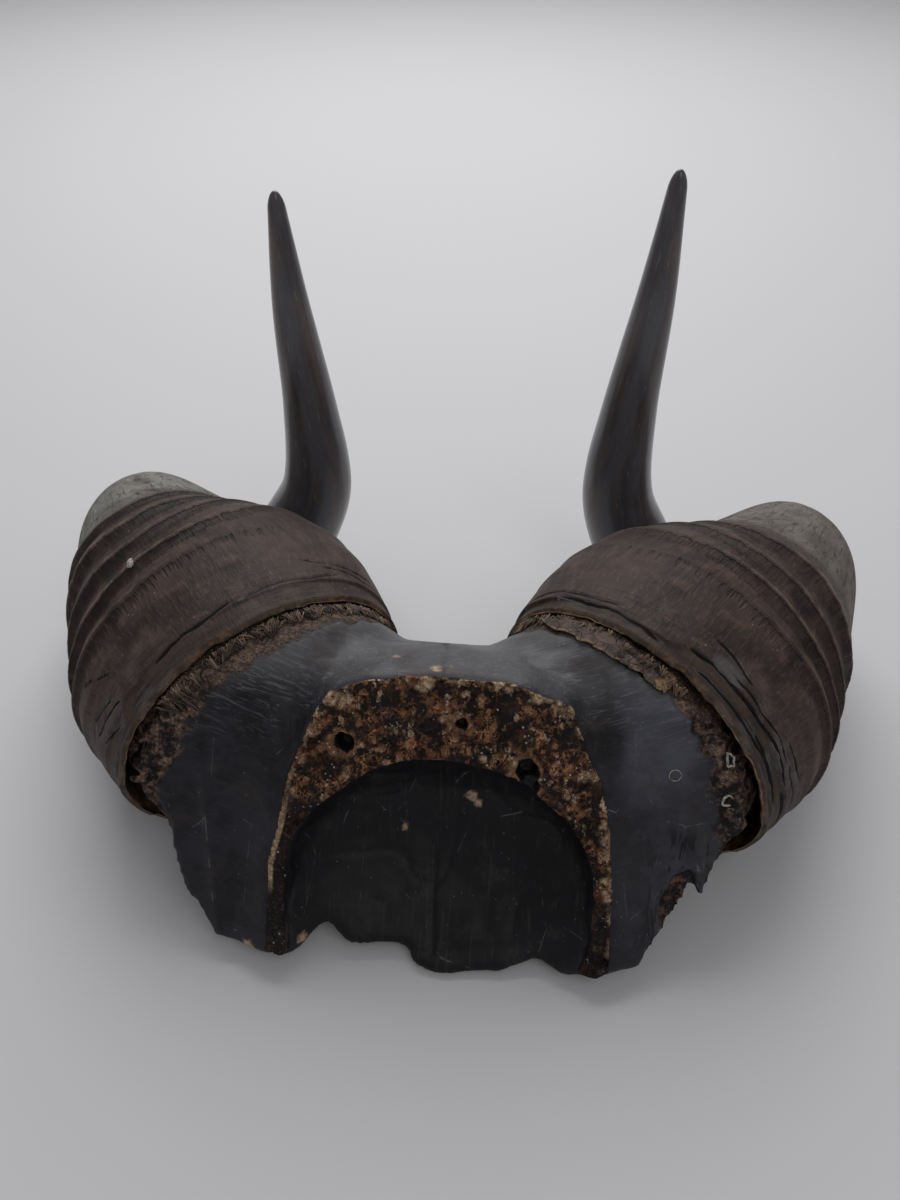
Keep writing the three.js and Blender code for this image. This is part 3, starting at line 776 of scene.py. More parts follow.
GOUGE = (1, -80, 12.5, 7, 2.6, 0.7)  # side, angle, length, half widths round and along, depth
SIDES = 240
SOCKET_ROWS = 24
TIP_ROUND = 6.0
BOX_LOW = np.array(cad_box[0]) / METRES + 0.03
BOX_HIGH = np.array(cad_box[1]) / METRES - 0.03
HORN_PLACES = np.concatenate([
    np.linspace(0, 0.06, 84, endpoint=False),
    np.linspace(0.06, 0.29, 150, endpoint=False),
    np.linspace(0.29, 0.98, 110, endpoint=False),
    1 - 0.02 * np.linspace(1, 0, 20) ** 2,
])


def smooth_curve(stations, t):
    """Points on a Catmull-Rom curve through rows of numbers, for t from 0 to 1."""
    first, last = 2 * stations[0] - stations[1], 2 * stations[-1] - stations[-2]
    rows = np.vstack([first, stations, last])
    place = np.clip(t, 0, 1) * (len(stations) - 1)
    i = np.minimum(place.astype(int), len(stations) - 2)
    w = (place - i)[:, None]
    a, b, c, d = rows[i], rows[i + 1], rows[i + 2], rows[i + 3]
    slope_b, slope_c = (c - a) / 2, (d - b) / 2
    return (
        b + slope_b * w + (3 * (c - b) - 2 * slope_b - slope_c) * w ** 2
        + (2 * (b - c) + slope_b + slope_c) * w ** 3
    )


class Horn:
    """Centreline, size and cross ways of one horn, at steps along it."""

    STEPS = 400

    def __init__(self, side):
        stations = HORN_STATIONS * [side, 1, 1, 1, 1]
        stations[:, 1] += RIDGE_Y
        tip_share = np.clip((np.arange(len(stations)) - ELBOW) / (len(stations) - 1 - ELBOW), 0, 1)
        stations[:, 2] += TIP_LENGTHENED[side] * tip_share
        self.side = side
        self.stations = stations
        self.steps = np.linspace(0, 1, self.STEPS + 1)
        self.middles = smooth_curve(stations, self.steps)[:, :3]
        ways = np.gradient(self.middles, axis=0)
        self.alongs = ways / np.linalg.norm(ways, axis=1)[:, None]
        run = np.linalg.norm(np.diff(self.middles, axis=0), axis=1)
        self.lengths = np.concatenate([[0], np.cumsum(run)])
        wide = RIM_WIDE * [side, 1, 1]
        self.wides = []
        for along in self.alongs:
            wide = unit(wide - along * (wide @ along))
            self.wides.append(wide)
        self.wides = np.array(self.wides)

    def at(self, t, rows):
        return np.stack([np.interp(t, self.steps, rows[:, i]) for i in range(3)], axis=1)

    def surface(self, t, angle, outward):
        """Points at places t and angles, moved outward from the smooth form."""
        middle = self.at(t, self.middles)
        along = self.at(t, self.alongs)
        wide = self.at(t, self.wides)
        thin = self.side * np.cross(along, wide)
        size = smooth_curve(self.stations, t)[:, 3:5]
        grown = 1 + outward / size[:, 1]
        a = size[:, 0] * grown * np.cos(angle)
        b = size[:, 1] * grown * np.sin(angle)
        return middle + wide * a[:, None] + thin * b[:, None]


def rings(t, angle, unbent, seed):
    """Height of the rings, and how near each point is to a crest and to the groove below it."""
    wobble = 0.17 * wander(unbent + seed, 34) + 0.05 * wander(unbent + seed, 9)
    wobble += 0.045 * wander(unbent * [1, 1, 0.1] + seed, 2.2)
    side = np.clip(0.9 + 0.6 * np.cos(angle), 0.42, 1.25)
    hand = int(np.sign(seed))
    first, count = FIRST_RING[hand], RING_COUNT[hand]
    ring = (t - first) / RING_SPACING + wobble
    phase = ring - np.floor(ring + RING_RISE)
    falling = np.clip(1 - phase / (1 - RING_RISE), 0, 1) ** 1.5
    wave = np.where(phase < 0, soft_step(phase, -RING_RISE, 0), falling)
    rise = np.clip((ring + 0.9) / 3, 0.25, 1)
    ringed = (ring > -RING_RISE) & (ring < count - RING_RISE)
    height = RING_HEIGHT * side * np.where(
        ringed, rise * (wave - RING_SINK), -0.25 * RING_SINK * soft_step(ring, -1.5, -RING_RISE)
    )
    fade = np.clip(1 - (t - first - (count - 0.5) * RING_SPACING) / RING_FADE, 0, 1)
    height = np.where(ring >= count - RING_RISE, -RING_HEIGHT * side * RING_SINK * fade, height)
    strength = ringed * rise * np.clip(side, 0.6, 1)
    crest = strength * np.where(
        phase < 0, soft_step(phase, -0.07, -0.01), soft_step(phase, 0.34, 0.02)
    )
    groove = strength * np.where(
        phase < 0, soft_step(phase, -0.03, -0.15), soft_step(phase, 0.26, 0.66)
    )
    return height, crest, groove


def splits(side, degrees, unbent):
    """Depth of the splits near the rim."""
    depth = np.zeros(len(degrees))
    length = unbent[:, 2] + 0.9 * wander(unbent + 400, 7) + 0.3 * wander(unbent + 500, 2)
    for angle_a, length_a, angle_b, length_b, deep in SPLITS[side]:
        share = np.clip((degrees - angle_a) / (angle_b - angle_a), 0, 1)
        beside = length - length_a - share * (length_b - length_a)
        ends = soft_step(share, 0, 0.12) * soft_step(share, 1, 0.88)
        depth = np.maximum(depth, deep * ends * np.exp(-((beside / SPLIT_HALF_WIDTH) ** 2)))
    return depth


def sheath_piece(side, name):
    horn = Horn(side)
    angles = np.linspace(-np.pi, np.pi, SIDES, endpoint=False)
    t, angle = (grid.ravel() for grid in np.meshgrid(HORN_PLACES, angles, indexing="ij"))
    size = smooth_curve(horn.stations, t)[:, 4]
    length = np.interp(t, horn.steps, horn.lengths)
    unbent = np.stack([size * np.cos(angle), size * np.sin(angle), length], axis=1)
    degrees = np.degrees(angle)
    height, crest, groove = rings(t, angle, unbent, 100 * side)
    height = height + 0.3 * wander(unbent, 13) * np.clip(size / 20, 0.2, 1)
    lip = LIP_WIDTH + 1.5 * wander(unbent, 21) + 0.35 * wander(unbent, 5)
    if side > 0:
        lip -= 3.8 * soft_step(degrees, -92, -100) * soft_step(degrees, -179, -160)
    lip_depth = LIP_STEP * (0.6 + 0.4 * wander(unbent + 60, 17)) * (1.5 if side > 0 else 1)
    height = height - lip_depth * soft_step(lip - length, -0.7, 0.7)
    height = height - LIP_BEVEL * np.clip(1 - length / BEVEL_LENGTH, 0, 1) ** 2
    split = splits(side, degrees, unbent)
    height = height - split
    gouge_side, gouge_angle, gouge_length, half_round, half_along, gouge_depth = GOUGE
    gouge = np.hypot((degrees - gouge_angle) / half_round, (length - gouge_length) / half_along)
    gouge = soft_step(gouge + 0.3 * wander(unbent, 3), 1.1, 0.8) * (side == gouge_side)
    height = height - gouge_depth * gouge
    low_edge = soft_step(degrees, -100, -45) * soft_step(degrees, 90, 40) * soft_step(length, 30, 8)
    height = height - 0.5 * low_edge * np.abs(wander(unbent * [0.25, 0.25, 1] + 300, 2.4))
    to_tip = np.clip(1 - (horn.lengths[-1] - length) / TIP_ROUND, 0, 1)
    height = height - size * (1 - np.sqrt(1 - 0.98 * to_tip ** 2))
    ragged = 1.3 * np.abs(wander(unbent + 700, 5)) + 0.5 * np.abs(wander(unbent + 750, 1.9))
    t_moved = t + np.clip(1 - length / RAGGED_LENGTH, 0, 1) * ragged * T_PER_MM
    outer = horn.surface(t_moved, angle, height)
    socket_t = np.linspace(0, SOCKET_END, SOCKET_ROWS)
    it, iangle = (grid.ravel() for grid in np.meshgrid(socket_t, angles, indexing="ij"))
    wall = LIP_WALL + (DEEP_WALL - LIP_WALL) * it / SOCKET_END
    inner = horn.surface(it, iangle, np.zeros_like(it))
    middle = horn.at(it, horn.middles)
    reach = np.linalg.norm(inner - middle, axis=1, keepdims=True)
    inner = middle + (inner - middle) * (1 - wall[:, None] / reach)
    inner[:SIDES] += outer[:SIDES] - horn.surface(t[:SIDES], angle[:SIDES], height[:SIDES])
    ends = [outer[-SIDES:].mean(axis=0)], [inner[-SIDES:].mean(axis=0)]
    points = np.clip(np.concatenate([outer, inner, *ends]), BOX_LOW, BOX_HIGH)
    around = np.arange(SIDES)
    after = (around + 1) % SIDES

    def band(first, second):
        return np.stack([first + around, first + after, second + after, second + around], axis=1)

    socket_start = len(outer)
    outer_rows = range(0, socket_start, SIDES)
    socket_rows = range(socket_start, socket_start + len(inner), SIDES)
    quads = [band(row, row + SIDES) for row in outer_rows[:-1]]
    quads += [band(row + SIDES, row) for row in socket_rows[:-1]]
    quads.append(band(socket_start, 0))
    faces = np.concatenate(quads)
    tip, socket_end = np.full((2, SIDES), [[len(points) - 2], [len(points) - 1]])
    caps = np.concatenate([
        np.stack([outer_rows[-1] + around, outer_rows[-1] + after, tip], axis=1),
        np.stack([socket_rows[-1] + after, socket_rows[-1] + around, socket_end], axis=1),
    ])
    if side < 0:
        faces, caps = faces[:, ::-1], caps[:, ::-1]
    socket = np.stack([40 * np.cos(iangle), 40 * np.sin(iangle), -1 - it * horn.lengths[-1]], axis=1)
    unbent = np.concatenate([unbent, socket, unbent[-1:], socket[-1:]])
    outside = {"crest": crest, "groove": groove, "split": split, "worn": low_edge, "gouge": gouge}
    blank = np.zeros(len(points) - len(outer))
    values = {key: np.concatenate([value, blank]) for key, value in outside.items()}
    piece = lay_mesh(name, points, faces, caps, unbent=unbent, **values)
    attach(piece, "root")
    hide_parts(name.replace("_keratin", ""))
    return piece


left_sheath = sheath_piece(-1, "left_horn_sheath_keratin")
right_sheath = sheath_piece(1, "right_horn_sheath_keratin")

DARK_HORN, BROWN_HORN, WARM_HORN = (0.0205, 0.0135, 0.012), (0.061, 0.04, 0.034), (0.086, 0.052, 0.04)
GROOVE_SHADE, PALE_FIBRE_AND_HIGHLIGHT, BRUISED = (0.0115, 0.0086, 0.0082), (0.21, 0.15, 0.118), (0.125, 0.12, 0.125)
LIP_OLIVE, OLD_GOLD, LAYER_BLACK = (0.064, 0.043, 0.029), (0.17, 0.105, 0.05), (0.009, 0.007, 0.007)
SPLIT_SHADE, SPLIT_HIGHLIGHT, FLECK = (0.006, 0.005, 0.005), (0.22, 0.21, 0.21), (0.34, 0.31, 0.27)
WEATHERED, WEATHERED_DARK = (0.255, 0.246, 0.225), (0.155, 0.148, 0.128)
LIT_SOCKET_BROWN, LIT_SOCKET_TAN = (0.13, 0.076, 0.05), (0.34, 0.215, 0.125)
TIP_BLACK, TIP_BLUE_SHEEN, TIP_BROWN = (0.054, 0.048, 0.051), (0.088, 0.086, 0.098), (0.128, 0.10, 0.082)

# Each sheath with how dark its painted groove shade is, where its weathered hump begins, how much
# further the weathering goes, and the painted shade that darkens its hump.
for sheath, groove_shade, hump_start, more_wear, hump_shade in (
    (left_sheath, 0.58, 89, 0.0, np.array([1.0, 1.0, 1.0])),
    (right_sheath, 0.28, 79, 0.08, np.array([0.76, 0.70, 0.69])),
):
    horn = start_finish(sheath, sheath.name + "_finish")
    unbent = horn.value("unbent", "Vector")
    length = unbent.part(2)
    crest, groove, split, worn, gouge = map(horn.value, ("crest", "groove", "split", "worn", "gouge"))
    fibres = (unbent * (1.0, 1.0, 0.08)).mottle(0.8, 3, 0.6)
    streaks = (unbent * (1.0, 1.0, 0.25)).mottle(5, 4, 0.6)
    clouds = unbent.mottle(22, 5, 0.6)
    smears = (unbent + 90.0).mottle(8, 5, 0.65)
    crumbs = unbent.mottle(1.6, 4, 0.7)
    comb = (unbent * (1.0, 1.0, 0.10)).mottle(1.0, 2, 0.5)
    teeth = (groove + 0.9 * (comb - 0.5)).step(0.34, 0.62)
    crest_highlight = (crest + 0.5 * (crumbs - 0.5)).step(0.42, 0.95) * smears.step(0.36, 0.56)
    rim_gold = length.step(3.0, 0.4) * (smears * 0.6 + crumbs * 0.4).step(0.46, 0.60)
    layers = (unbent * (0.07, 0.07, 1.0)).mottle(1.1, 3, 0.65)
    layer_lines = layers.step(0.57, 0.66) * length.step(26, 12) * (0.25 + 0.75 * worn)
    bruise = worn * (smears * 0.5 + layers * 0.5).step(0.48, 0.60)
    split_edge_highlight = split.step(0.02, 0.12) * split.step(0.5, 0.2) * smears.step(0.44, 0.60)
    flecks = (unbent + 33.0).cells(3.4).step(0.09, 0.04) * smears.step(0.46, 0.56)
    hump = length.step(hump_start, hump_start + 15) * length.step(215, 165)
    wear = hump * (clouds + crumbs * 0.25 + more_wear).step(0.44, 0.62)
    pits = (unbent * (1.0, 1.0, 0.13)).mottle(1.5, 4, 0.65).step(0.53, 0.70)
    # The right hump is darkened by painted shade.
    weathered = smears.step(0.35, 0.65).colours(hump_shade * WEATHERED, hump_shade * WEATHERED_DARK)
    brown = painted(
        (0.4 * streaks + 0.6 * clouds).step(0.36, 0.62).colours(DARK_HORN, BROWN_HORN),
        (smears.step(0.48, 0.66) * 0.8, WARM_HORN),
        (0.16 * fibres.step(0.50, 0.66), PALE_FIBRE_AND_HIGHLIGHT),
        # Painted shade on the base side of each ring, in the groove under its crest.
        (groove_shade * teeth, GROOVE_SHADE),
        # Painted highlight along each crest.
        (0.48 * crest_highlight, PALE_FIBRE_AND_HIGHLIGHT),
        (0.75 * length.step(10.5, 7.5), smears.step(0.40, 0.60).colours(LIP_OLIVE, DARK_HORN)),
        (0.75 * rim_gold, OLD_GOLD),
        (0.55 * layer_lines, LAYER_BLACK),
        (0.55 * bruise.most(gouge), BRUISED),
        # The splits are painted near black as painted shade, with a painted highlight along their
        # edges.
        (split.step(0.15, 0.45), SPLIT_SHADE),
        (0.25 * split_edge_highlight, SPLIT_HIGHLIGHT),
        (0.6 * flecks, FLECK),
        (wear, (0.6 * pits).colours(weathered, DARK_HORN)),
    )
    along_tip = unbent * (1.0, 1.0, 0.12)
    tip_scratches = (unbent * (1.0, 1.0, 0.035)).mottle(0.7, 2, 0.6).step(0.62, 0.72)
    # The blue-grey streaks on the tip are partly the horn's own tone and partly painted sheen.
    black = painted(
        along_tip.mottle(9, 4, 0.6).step(0.40, 0.60).colours(TIP_BLACK, TIP_BLUE_SHEEN),
        (0.7 * (along_tip + 77.0).mottle(11, 4, 0.6).step(0.50, 0.64), TIP_BROWN),
        (0.35 * tip_scratches, WEATHERED),
    )
    tip = length.step(165, 215)
    inside = length.step(-0.2, -0.9)
    # The inside of each sheath is painted light brown and tan, partly its own colour and partly
    # painted light in the shade under the lip.
    socket = unbent.mottle(3.5, 5, 0.7).step(0.42, 0.62).colours(LIT_SOCKET_BROWN, LIT_SOCKET_TAN)
    colour = painted(brown, (tip, black), (inside, socket))
    roughness = 0.56 - 0.22 * tip + 0.16 * (clouds - 0.5) + 0.15 * wear * (1 - tip)
    height = (1 - tip) * (0.20 * fibres - 0.45 * teeth + 0.12 * crumbs) + 0.04 * fibres
    height = height - 0.30 * layer_lines - 0.25 * wear * (1 - tip) * pits
    polish = {"Coat Weight": 0.75 * tip, "Coat Roughness": 0.18, "Specular IOR Level": 0.22}
    end_finish(horn, colour, roughness, height, **polish)


# ---- Matted tissue at the rims -------------------------------------------------------------
# Tufts of dried fibre that once held the sheaths, combed over the collar from under each lip.
# They are thin tapering strands laid on the bone, tan at the root and darker at the tip.
bone_tree = BVHTree.FromPolygons(points.tolist(), faces.tolist())
rng = np.random.default_rng(11)
STRAND_STEPS = 5
LONGEST_STEP, SHORTEST_STEP = 3.2, 0.05
# Angles round each rim where tufts grow, how many, and how long they are.
TUFT_BEDS = {
    -1: [(-178, -110, 100, 4.6), (-110, -62, 70, 3.8)],
    1: [(-178, -140, 50, 4.0), (-140, -85, 26, 3.4)],
}
PALE_FIBRE = (0.30, 0.20, 0.13)
RAY_LENGTH = 90
LIP_GAP, WIDEST_GAP = 0.6, 3.2  # between the bone and the lip over it


def bone_under(side, degrees, behind):
    """A spot on the bone at an angle behind a rim, the way out of it, and the gap under the lip."""
    middle, along, wide, thin = rim_frame(side)
    angle = math.radians(degrees)
    round_rim = wide * RIM_HALF_WIDE * math.cos(angle) + thin * RIM_HALF_THIN * math.sin(angle)
    outward = unit(round_rim)
    start = middle - along * behind + outward * RAY_LENGTH
    hit, normal, _, way = bone_tree.ray_cast(Vector(start), Vector(-outward))
    if hit is None:
        return None, None, 0
    normal = np.array(normal)
    rim = 1 / math.hypot(outward @ wide / RIM_HALF_WIDE, outward @ thin / RIM_HALF_THIN)
    gap = np.clip(rim - LIP_WALL - LIP_GAP - (RAY_LENGTH - way), 0, WIDEST_GAP)
    return np.array(hit), normal if normal @ outward > 0 else -normal, gap


def strand(path, lifts, width):
    """Corners and faces of one closed, three-sided strand that tapers to a point."""
    spine = [spot + normal * lift for (spot, normal), lift in zip(path, lifts)]
    corners, triangles = [], []
    for i in range(len(spine) - 1):
        forward = unit(spine[i + 1] - spine[i])
        out = path[i][1]
        across = unit(np.cross(forward, out))
        half = 0.5 * width * (1 - i / (len(spine) - 1)) ** 0.6
        low = spine[i] - out * 0.45 * half
        corners += [low - across * half, low + across * half, spine[i] + out * 0.9 * half]
    corners.append(spine[-1])
    triangles.append([0, 2, 1])
    for i in range(len(spine) - 2):
        for k in range(3):
            a, b = 3 * i + k, 3 * i + (k + 1) % 3
            triangles += [[a, b, b + 3], [a, b + 3, a + 3]]
    last = 3 * (len(spine) - 2)
    triangles += [[last + k, last + (k + 1) % 3, len(corners) - 1] for k in range(3)]
    return corners, triangles


def tissue_piece(side, name):
    corners, triangles, tones, reaches = [], [], [], []
    shares = np.linspace(0, 1, STRAND_STEPS)
    for low, high, count, reach in TUFT_BEDS[side]:
        for _ in range(count):
            degrees = rng.uniform(low, high)
            root = rng.uniform(-0.5, 1.0) + (rng.random() < 0.3) * rng.uniform(0, 2.5)
            tufty = float(wander(np.array([[degrees, 0, 9.0 * side]]), 5)[0])
            long = reach * rng.uniform(0.45, 1.1) * (1 + 0.4 * tufty)
            lean = rng.normal(0, 2.5)
            tone = rng.random()
            for _ in range(rng.integers(5, 10)):
                start = degrees + rng.normal(0, 1.1)
                end = degrees + lean + rng.normal(0, 0.5)
                own = long * rng.uniform(0.7, 1.1)
                found = [bone_under(side, start + (end - start) * s, root + own * s) for s in shares]
                if any(spot is None for spot, _, _ in found):
                    continue
                gap = found[0][2]
                path = [(spot, normal) for spot, normal, _ in found]
                steps = [np.linalg.norm(b[0] - a[0]) for a, b in zip(path, path[1:])]
                if max(steps) > LONGEST_STEP or min(steps) < SHORTEST_STEP:
                    continue
                lifts = 0.1 + rng.uniform(0.05, 0.45) * np.sin(np.pi * shares ** 0.8)
                lifts += gap * rng.uniform(0.35, 1.0) * (1 - shares) ** 1.4
                made, sides = strand(path, lifts, rng.uniform(0.35, 0.8))
                triangles += [[i + len(corners) for i in three] for three in sides]
                corners += made
                tones += [np.clip(tone + rng.normal(0, 0.2), 0, 1)] * len(made)
                reaches += list(np.repeat(shares, 3)[:len(made)])
    corners = np.clip(np.array(corners), BOX_LOW, BOX_HIGH)
    piece = lay_mesh(
        name, corners, np.array(triangles), tone=np.array(tones), reach=np.array(reaches)
    )
    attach(piece, "root")
    tissue = start_finish(piece, name + "_finish")
    spot = tissue.spot()
    tone = tissue.value("tone") * 0.7 + spot.mottle(3, 3, 0.6) * 0.6
    tan = painted(
        tone.step(0.25, 0.9).colours(BARK_BROWN, TAN),
        (tone.step(0.72, 1.05) * 0.7, PALE_FIBRE),
        (tissue.value("reach").step(0.5, 1.0) * 0.55, CHARCOAL),
    )
    end_finish(tissue, tan, 0.72 + 0.1 * spot.mottle(2), 0.1 * spot.mottle(0.5, 3, 0.6))


tissue_piece(-1, "left_rim_tissue")
tissue_piece(1, "right_rim_tissue")


# ---- Torn inner lip ------------------------------------------------------------------------
# A strip of brown inner horn that has come away from the right sheath and lies on the bone
# below its lip. It is a thin wrinkled plate with a chipped end.
FLAP_ANGLES = np.linspace(-160, -90, 110)
FLAP_ROWS = np.linspace(0, 1, 16)
FLAP_THICK = 0.9
top, bottom, cream_share = [], [], []
for degrees in FLAP_ANGLES:
    grow = soft_step(degrees, -160, -140) * (1 - 0.25 * soft_step(degrees, -108, -90))
    nibble = float(wander(np.array([[degrees * 0.8, 0, 5.0]]), 3)[0])
    width = 1.2 + 6.6 * grow + 0.8 * nibble
    for share in FLAP_ROWS:
        behind = -1.2 + (width + 1.2) * share
        spot, normal, _ = bone_under(1, float(degrees), float(behind))
        wrinkle = 0.35 * float(wander(np.array([[degrees * 0.15, behind, 2.0]]), 1.1)[0])
        wrinkle += 0.25 * float(wander(np.array([[degrees * 0.7, behind, 7.0]]), 2.0)[0])
        lift = 1.0 + 0.7 * share + wrinkle
        top.append(spot + normal * lift)
        bottom.append(spot + normal * (lift - FLAP_THICK * (1 - 0.55 * share)))
        cream_share.append(soft_step(share, 0.8, 1.0) + soft_step(degrees, -99, -91))
rows, columns = len(FLAP_ANGLES), len(FLAP_ROWS)
index = np.arange(rows * columns).reshape(rows, columns)
below = index + rows * columns


def grid_faces(index):
    return np.stack([index[:-1, :-1], index[1:, :-1], index[1:, 1:], index[:-1, 1:]], axis=-1)


def wall(upper, lower):
    return np.stack([upper[:-1], lower[:-1], lower[1:], upper[1:]], axis=-1)


flap_faces = np.concatenate([
    grid_faces(index).reshape(-1, 4), grid_faces(below).reshape(-1, 4)[:, ::-1],
    wall(index[:, 0], below[:, 0])[:, ::-1], wall(index[:, -1], below[:, -1]),
    wall(index[0], below[0]), wall(index[-1], below[-1])[:, ::-1],
])
flap_points = np.clip(np.array(top + bottom), BOX_LOW, BOX_HIGH)
flap_values = np.clip(np.array(cream_share * 2, dtype=float), 0, 1)
flap = lay_mesh("right_inner_lip", flap_points, flap_faces, edge=flap_values)
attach(flap, "root")
flap_finish = start_finish(flap, "inner_horn")
LIP_DARK, LIP_BROWN, LIP_CREAM = (0.04, 0.027, 0.022), (0.115, 0.075, 0.06), (0.21, 0.125, 0.06)
CRACK_BLACK = (0.012, 0.009, 0.008)
spot = flap_finish.spot()
grainy = spot.mottle(3.5, 6, 0.7)
fine = spot.mottle(0.8, 3, 0.6)
cracks = (spot + 1.5 * grainy).cells(5, "DISTANCE_TO_EDGE").step(0.03, 0.0)
inner_horn = painted(
    grainy.step(0.36, 0.62).colours(LIP_DARK, LIP_BROWN),
    (flap_finish.value("edge").step(0.3, 0.9) * grainy.step(0.40, 0.56), LIP_CREAM),
    (0.8 * cracks, CRACK_BLACK),
)
end_finish(flap_finish, inner_horn, 0.7 + 0.1 * fine, 0.5 * grainy + 0.25 * fine - 0.4 * cracks)

# ---- Pale crumbs ---------------------------------------------------------------------------
# Dried cases of grubs stuck to the right flank, and a speck of plaster on the left sheath.
# The cases are thin crumpled rings, and the speck is a small lump.
CASES = [  # where, which way out, radii, thickness and crumple
    ((72.5, -61.4, 63.8), (0.07, -0.81, 0.58), 1.9, 1.8, 0.13, 0.05),
    ((87.9, -57.4, 68.0), (0.45, -0.60, 0.66), 1.3, 2.3, 0.34, 0.35),
    ((89.2, -64.3, 56.9), (0.29, -0.89, 0.36), 1.8, 1.9, 0.36, 0.15),
]
CASE_TURNS, CASE_CORNERS = 40, 6
SPECK = ((-109.7, -6.2, 89.1), (-0.37, -0.21, 0.91), 1.9)
SPECK_ROWS, SPECK_TURNS, SPECK_HALF_THICK = 9, 24, 0.55


def ways_across(out):
    """The level way and the upper way across a spot, from the way out of it."""
    level = unit(np.cross((0, 0, 1), out))
    return level, np.cross(out, level)


crumb_points, crumb_faces = [], []
turns = np.linspace(0, 2 * np.pi, CASE_TURNS, endpoint=False)
for near, out, wide_radius, high_radius, thick, crumple in CASES:
    near, out = np.array(near), unit(np.array(out))
    hit = bone_tree.ray_cast(Vector(near + out * 12), Vector(-out))[0]
    near = np.array(hit) + out * thick * 1.3
    right, high = ways_across(out)
    bent = 1 + crumple * wander(np.stack([3 * np.cos(turns), 3 * np.sin(turns), turns * 0], 1), 1.6)
    ring_ways = np.cos(turns)[:, None] * right * wide_radius
    ring_ways = (ring_ways + np.sin(turns)[:, None] * high * high_radius) * bent[:, None]
    start = len(crumb_points)
    for way in ring_ways:
        outward = unit(way)
        for corner in np.linspace(0, 2 * np.pi, CASE_CORNERS, endpoint=False):
            offset = outward * math.cos(corner) + out * math.sin(corner) * 1.5
            crumb_points.append(near + way + offset * thick)
    ids = start + np.arange(CASE_TURNS * CASE_CORNERS).reshape(CASE_TURNS, CASE_CORNERS)
    after, next_corner = np.roll(ids, -1, axis=0), np.roll(ids, -1, axis=1)
    both = np.roll(after, -1, axis=1)
    crumb_faces.append(np.stack([ids, after, both, next_corner], axis=-1).reshape(-1, 4))
near, out, radius = np.array(SPECK[0]), unit(np.array(SPECK[1])), SPECK[2]
right, high = ways_across(out)
start = len(crumb_points)
for share in np.linspace(0.08, 0.92, SPECK_ROWS):
    polar = math.pi * share
    for turn in np.linspace(0, 2 * np.pi, SPECK_TURNS, endpoint=False):
        way = right * math.cos(turn) + high * 0.75 * math.sin(turn)
        place = way * math.sin(polar) * radius + out * math.cos(polar) * SPECK_HALF_THICK
        place *= 1 + 0.35 * float(wander(place[None] * 3 + 7, 2.2)[0])
        crumb_points.append(near + place)
ids = start + np.arange(SPECK_ROWS * SPECK_TURNS).reshape(SPECK_ROWS, SPECK_TURNS)
after = np.roll(ids, -1, axis=1)
crumb_faces.append(np.stack([ids[:-1], ids[1:], after[1:], after[:-1]], axis=-1).reshape(-1, 4))
top = len(crumb_points)
caps = [[a, b, top] for a, b in zip(ids[0], after[0])]
caps += [[b, a, top + 1] for a, b in zip(ids[-1], after[-1])]
crumb_points += [near + out * SPECK_HALF_THICK, near - out * SPECK_HALF_THICK]
pale_bits = lay_mesh(
    "pale_crumbs", np.array(crumb_points), np.concatenate(crumb_faces), np.array(caps)
)
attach(pale_bits, "root")
DULL_CHALK, PALE_CHALK = (0.22, 0.19, 0.16), (0.55, 0.50, 0.45)
chalk = start_finish(pale_bits, "chalky_crumbs")
spot = chalk.spot()
chalk_colour = spot.mottle(1.2, 4, 0.6).step(0.40, 0.60).colours(DULL_CHALK, PALE_CHALK)
end_finish(chalk, chalk_colour, 0.8 + 0.1 * spot.mottle(1), 0.25 * spot.mottle(0.6, 3, 0.6))


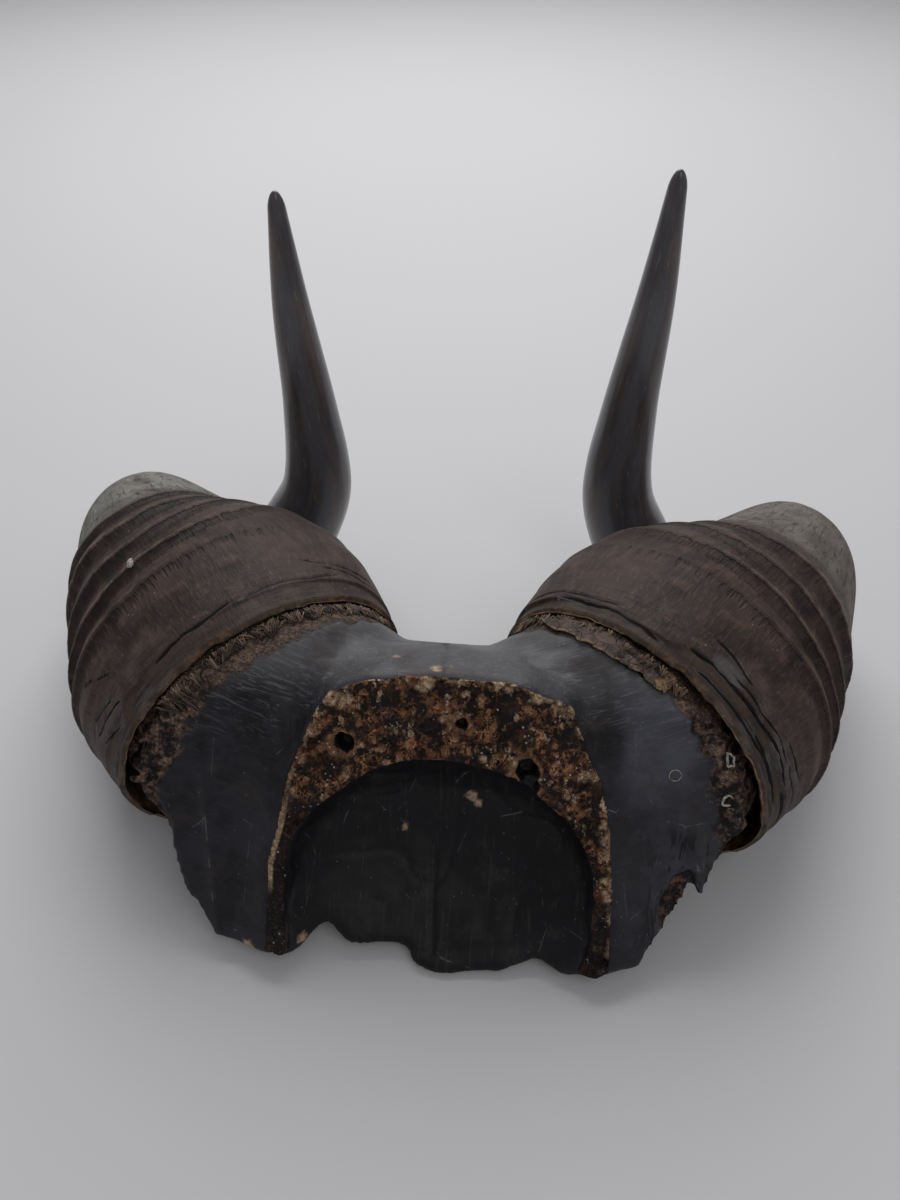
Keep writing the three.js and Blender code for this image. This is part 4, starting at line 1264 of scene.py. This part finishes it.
# ---- Floor, light and camera ---------------------------------------------------------------
# A plain pale floor under soft daylight from a window behind and above, with a little light
# that comes back from a wall in front.
floor_mesh = bpy.data.meshes.new("floor")
floor_mesh.from_pydata([(-3, -3, 0), (3, -3, 0), (3, 3, 0), (-3, 3, 0)], [], [(0, 1, 2, 3)])
floor = bpy.data.objects.new("floor", floor_mesh)
bpy.context.scene.collection.objects.link(floor)
PAINT_GREY, PAINT_PALE = (0.66, 0.66, 0.67), (0.69, 0.69, 0.70)
paint = start_finish(floor, "pale_floor")
floor_place = paint.node("ShaderNodeTexCoord", None, None, "Object")
end_finish(paint, floor_place.mottle(0.5, 3, 0.5).colours(PAINT_GREY, PAINT_PALE), 0.6, 0.0)


def aimed(name, data, place, forward, roll=0.0):
    """Puts a camera or a light at a place in metres and turns it to look forward."""
    made = bpy.data.objects.new(name, data)
    made.location = place
    made.rotation_mode = "QUATERNION"
    made.rotation_quaternion = forward.to_track_quat("-Z", "Y") @ Quaternion((0, 0, 1), roll)
    bpy.context.scene.collection.objects.link(made)
    return made


CAMERA_PLACE = Vector((13.5, -226.16, 294.6)) * METRES
CAMERA_TURN, CAMERA_DOWN, CAMERA_ROLL = map(math.radians, (-3.66, 44.27, 0.46))
camera_data = bpy.data.cameras.new("camera")
camera_data.sensor_width = 36
camera_data.lens = 27
camera_data.clip_start = 0.01
forward = Vector((
    math.sin(CAMERA_TURN) * math.cos(CAMERA_DOWN),
    math.cos(CAMERA_TURN) * math.cos(CAMERA_DOWN),
    -math.sin(CAMERA_DOWN),
))
bpy.context.scene.camera = aimed("camera", camera_data, CAMERA_PLACE, forward, CAMERA_ROLL)

# Each light: its name, power in watts, width in metres, and place.
LIGHT_AIM = Vector((0, 0, 0.05))
for name, watts, width, light_place in (
    ("window", 13.2, 1.2, Vector((-0.10, 0.92, 1.08))),
    ("far_wall", 1.2, 0.5, Vector((0.30, -0.50, 0.95))),
):
    light_data = bpy.data.lights.new(name, "AREA")
    light_data.energy = watts
    light_data.size = width
    aimed(name, light_data, light_place, LIGHT_AIM - light_place)
world = bpy.data.worlds.new("room")
world.use_nodes = True
world.node_tree.nodes["Background"].inputs["Color"].default_value = (0.99, 0.97, 1, 1)
world.node_tree.nodes["Background"].inputs["Strength"].default_value = 0.26
bpy.context.scene.world = world
bpy.context.scene.view_settings.view_transform = "Standard"
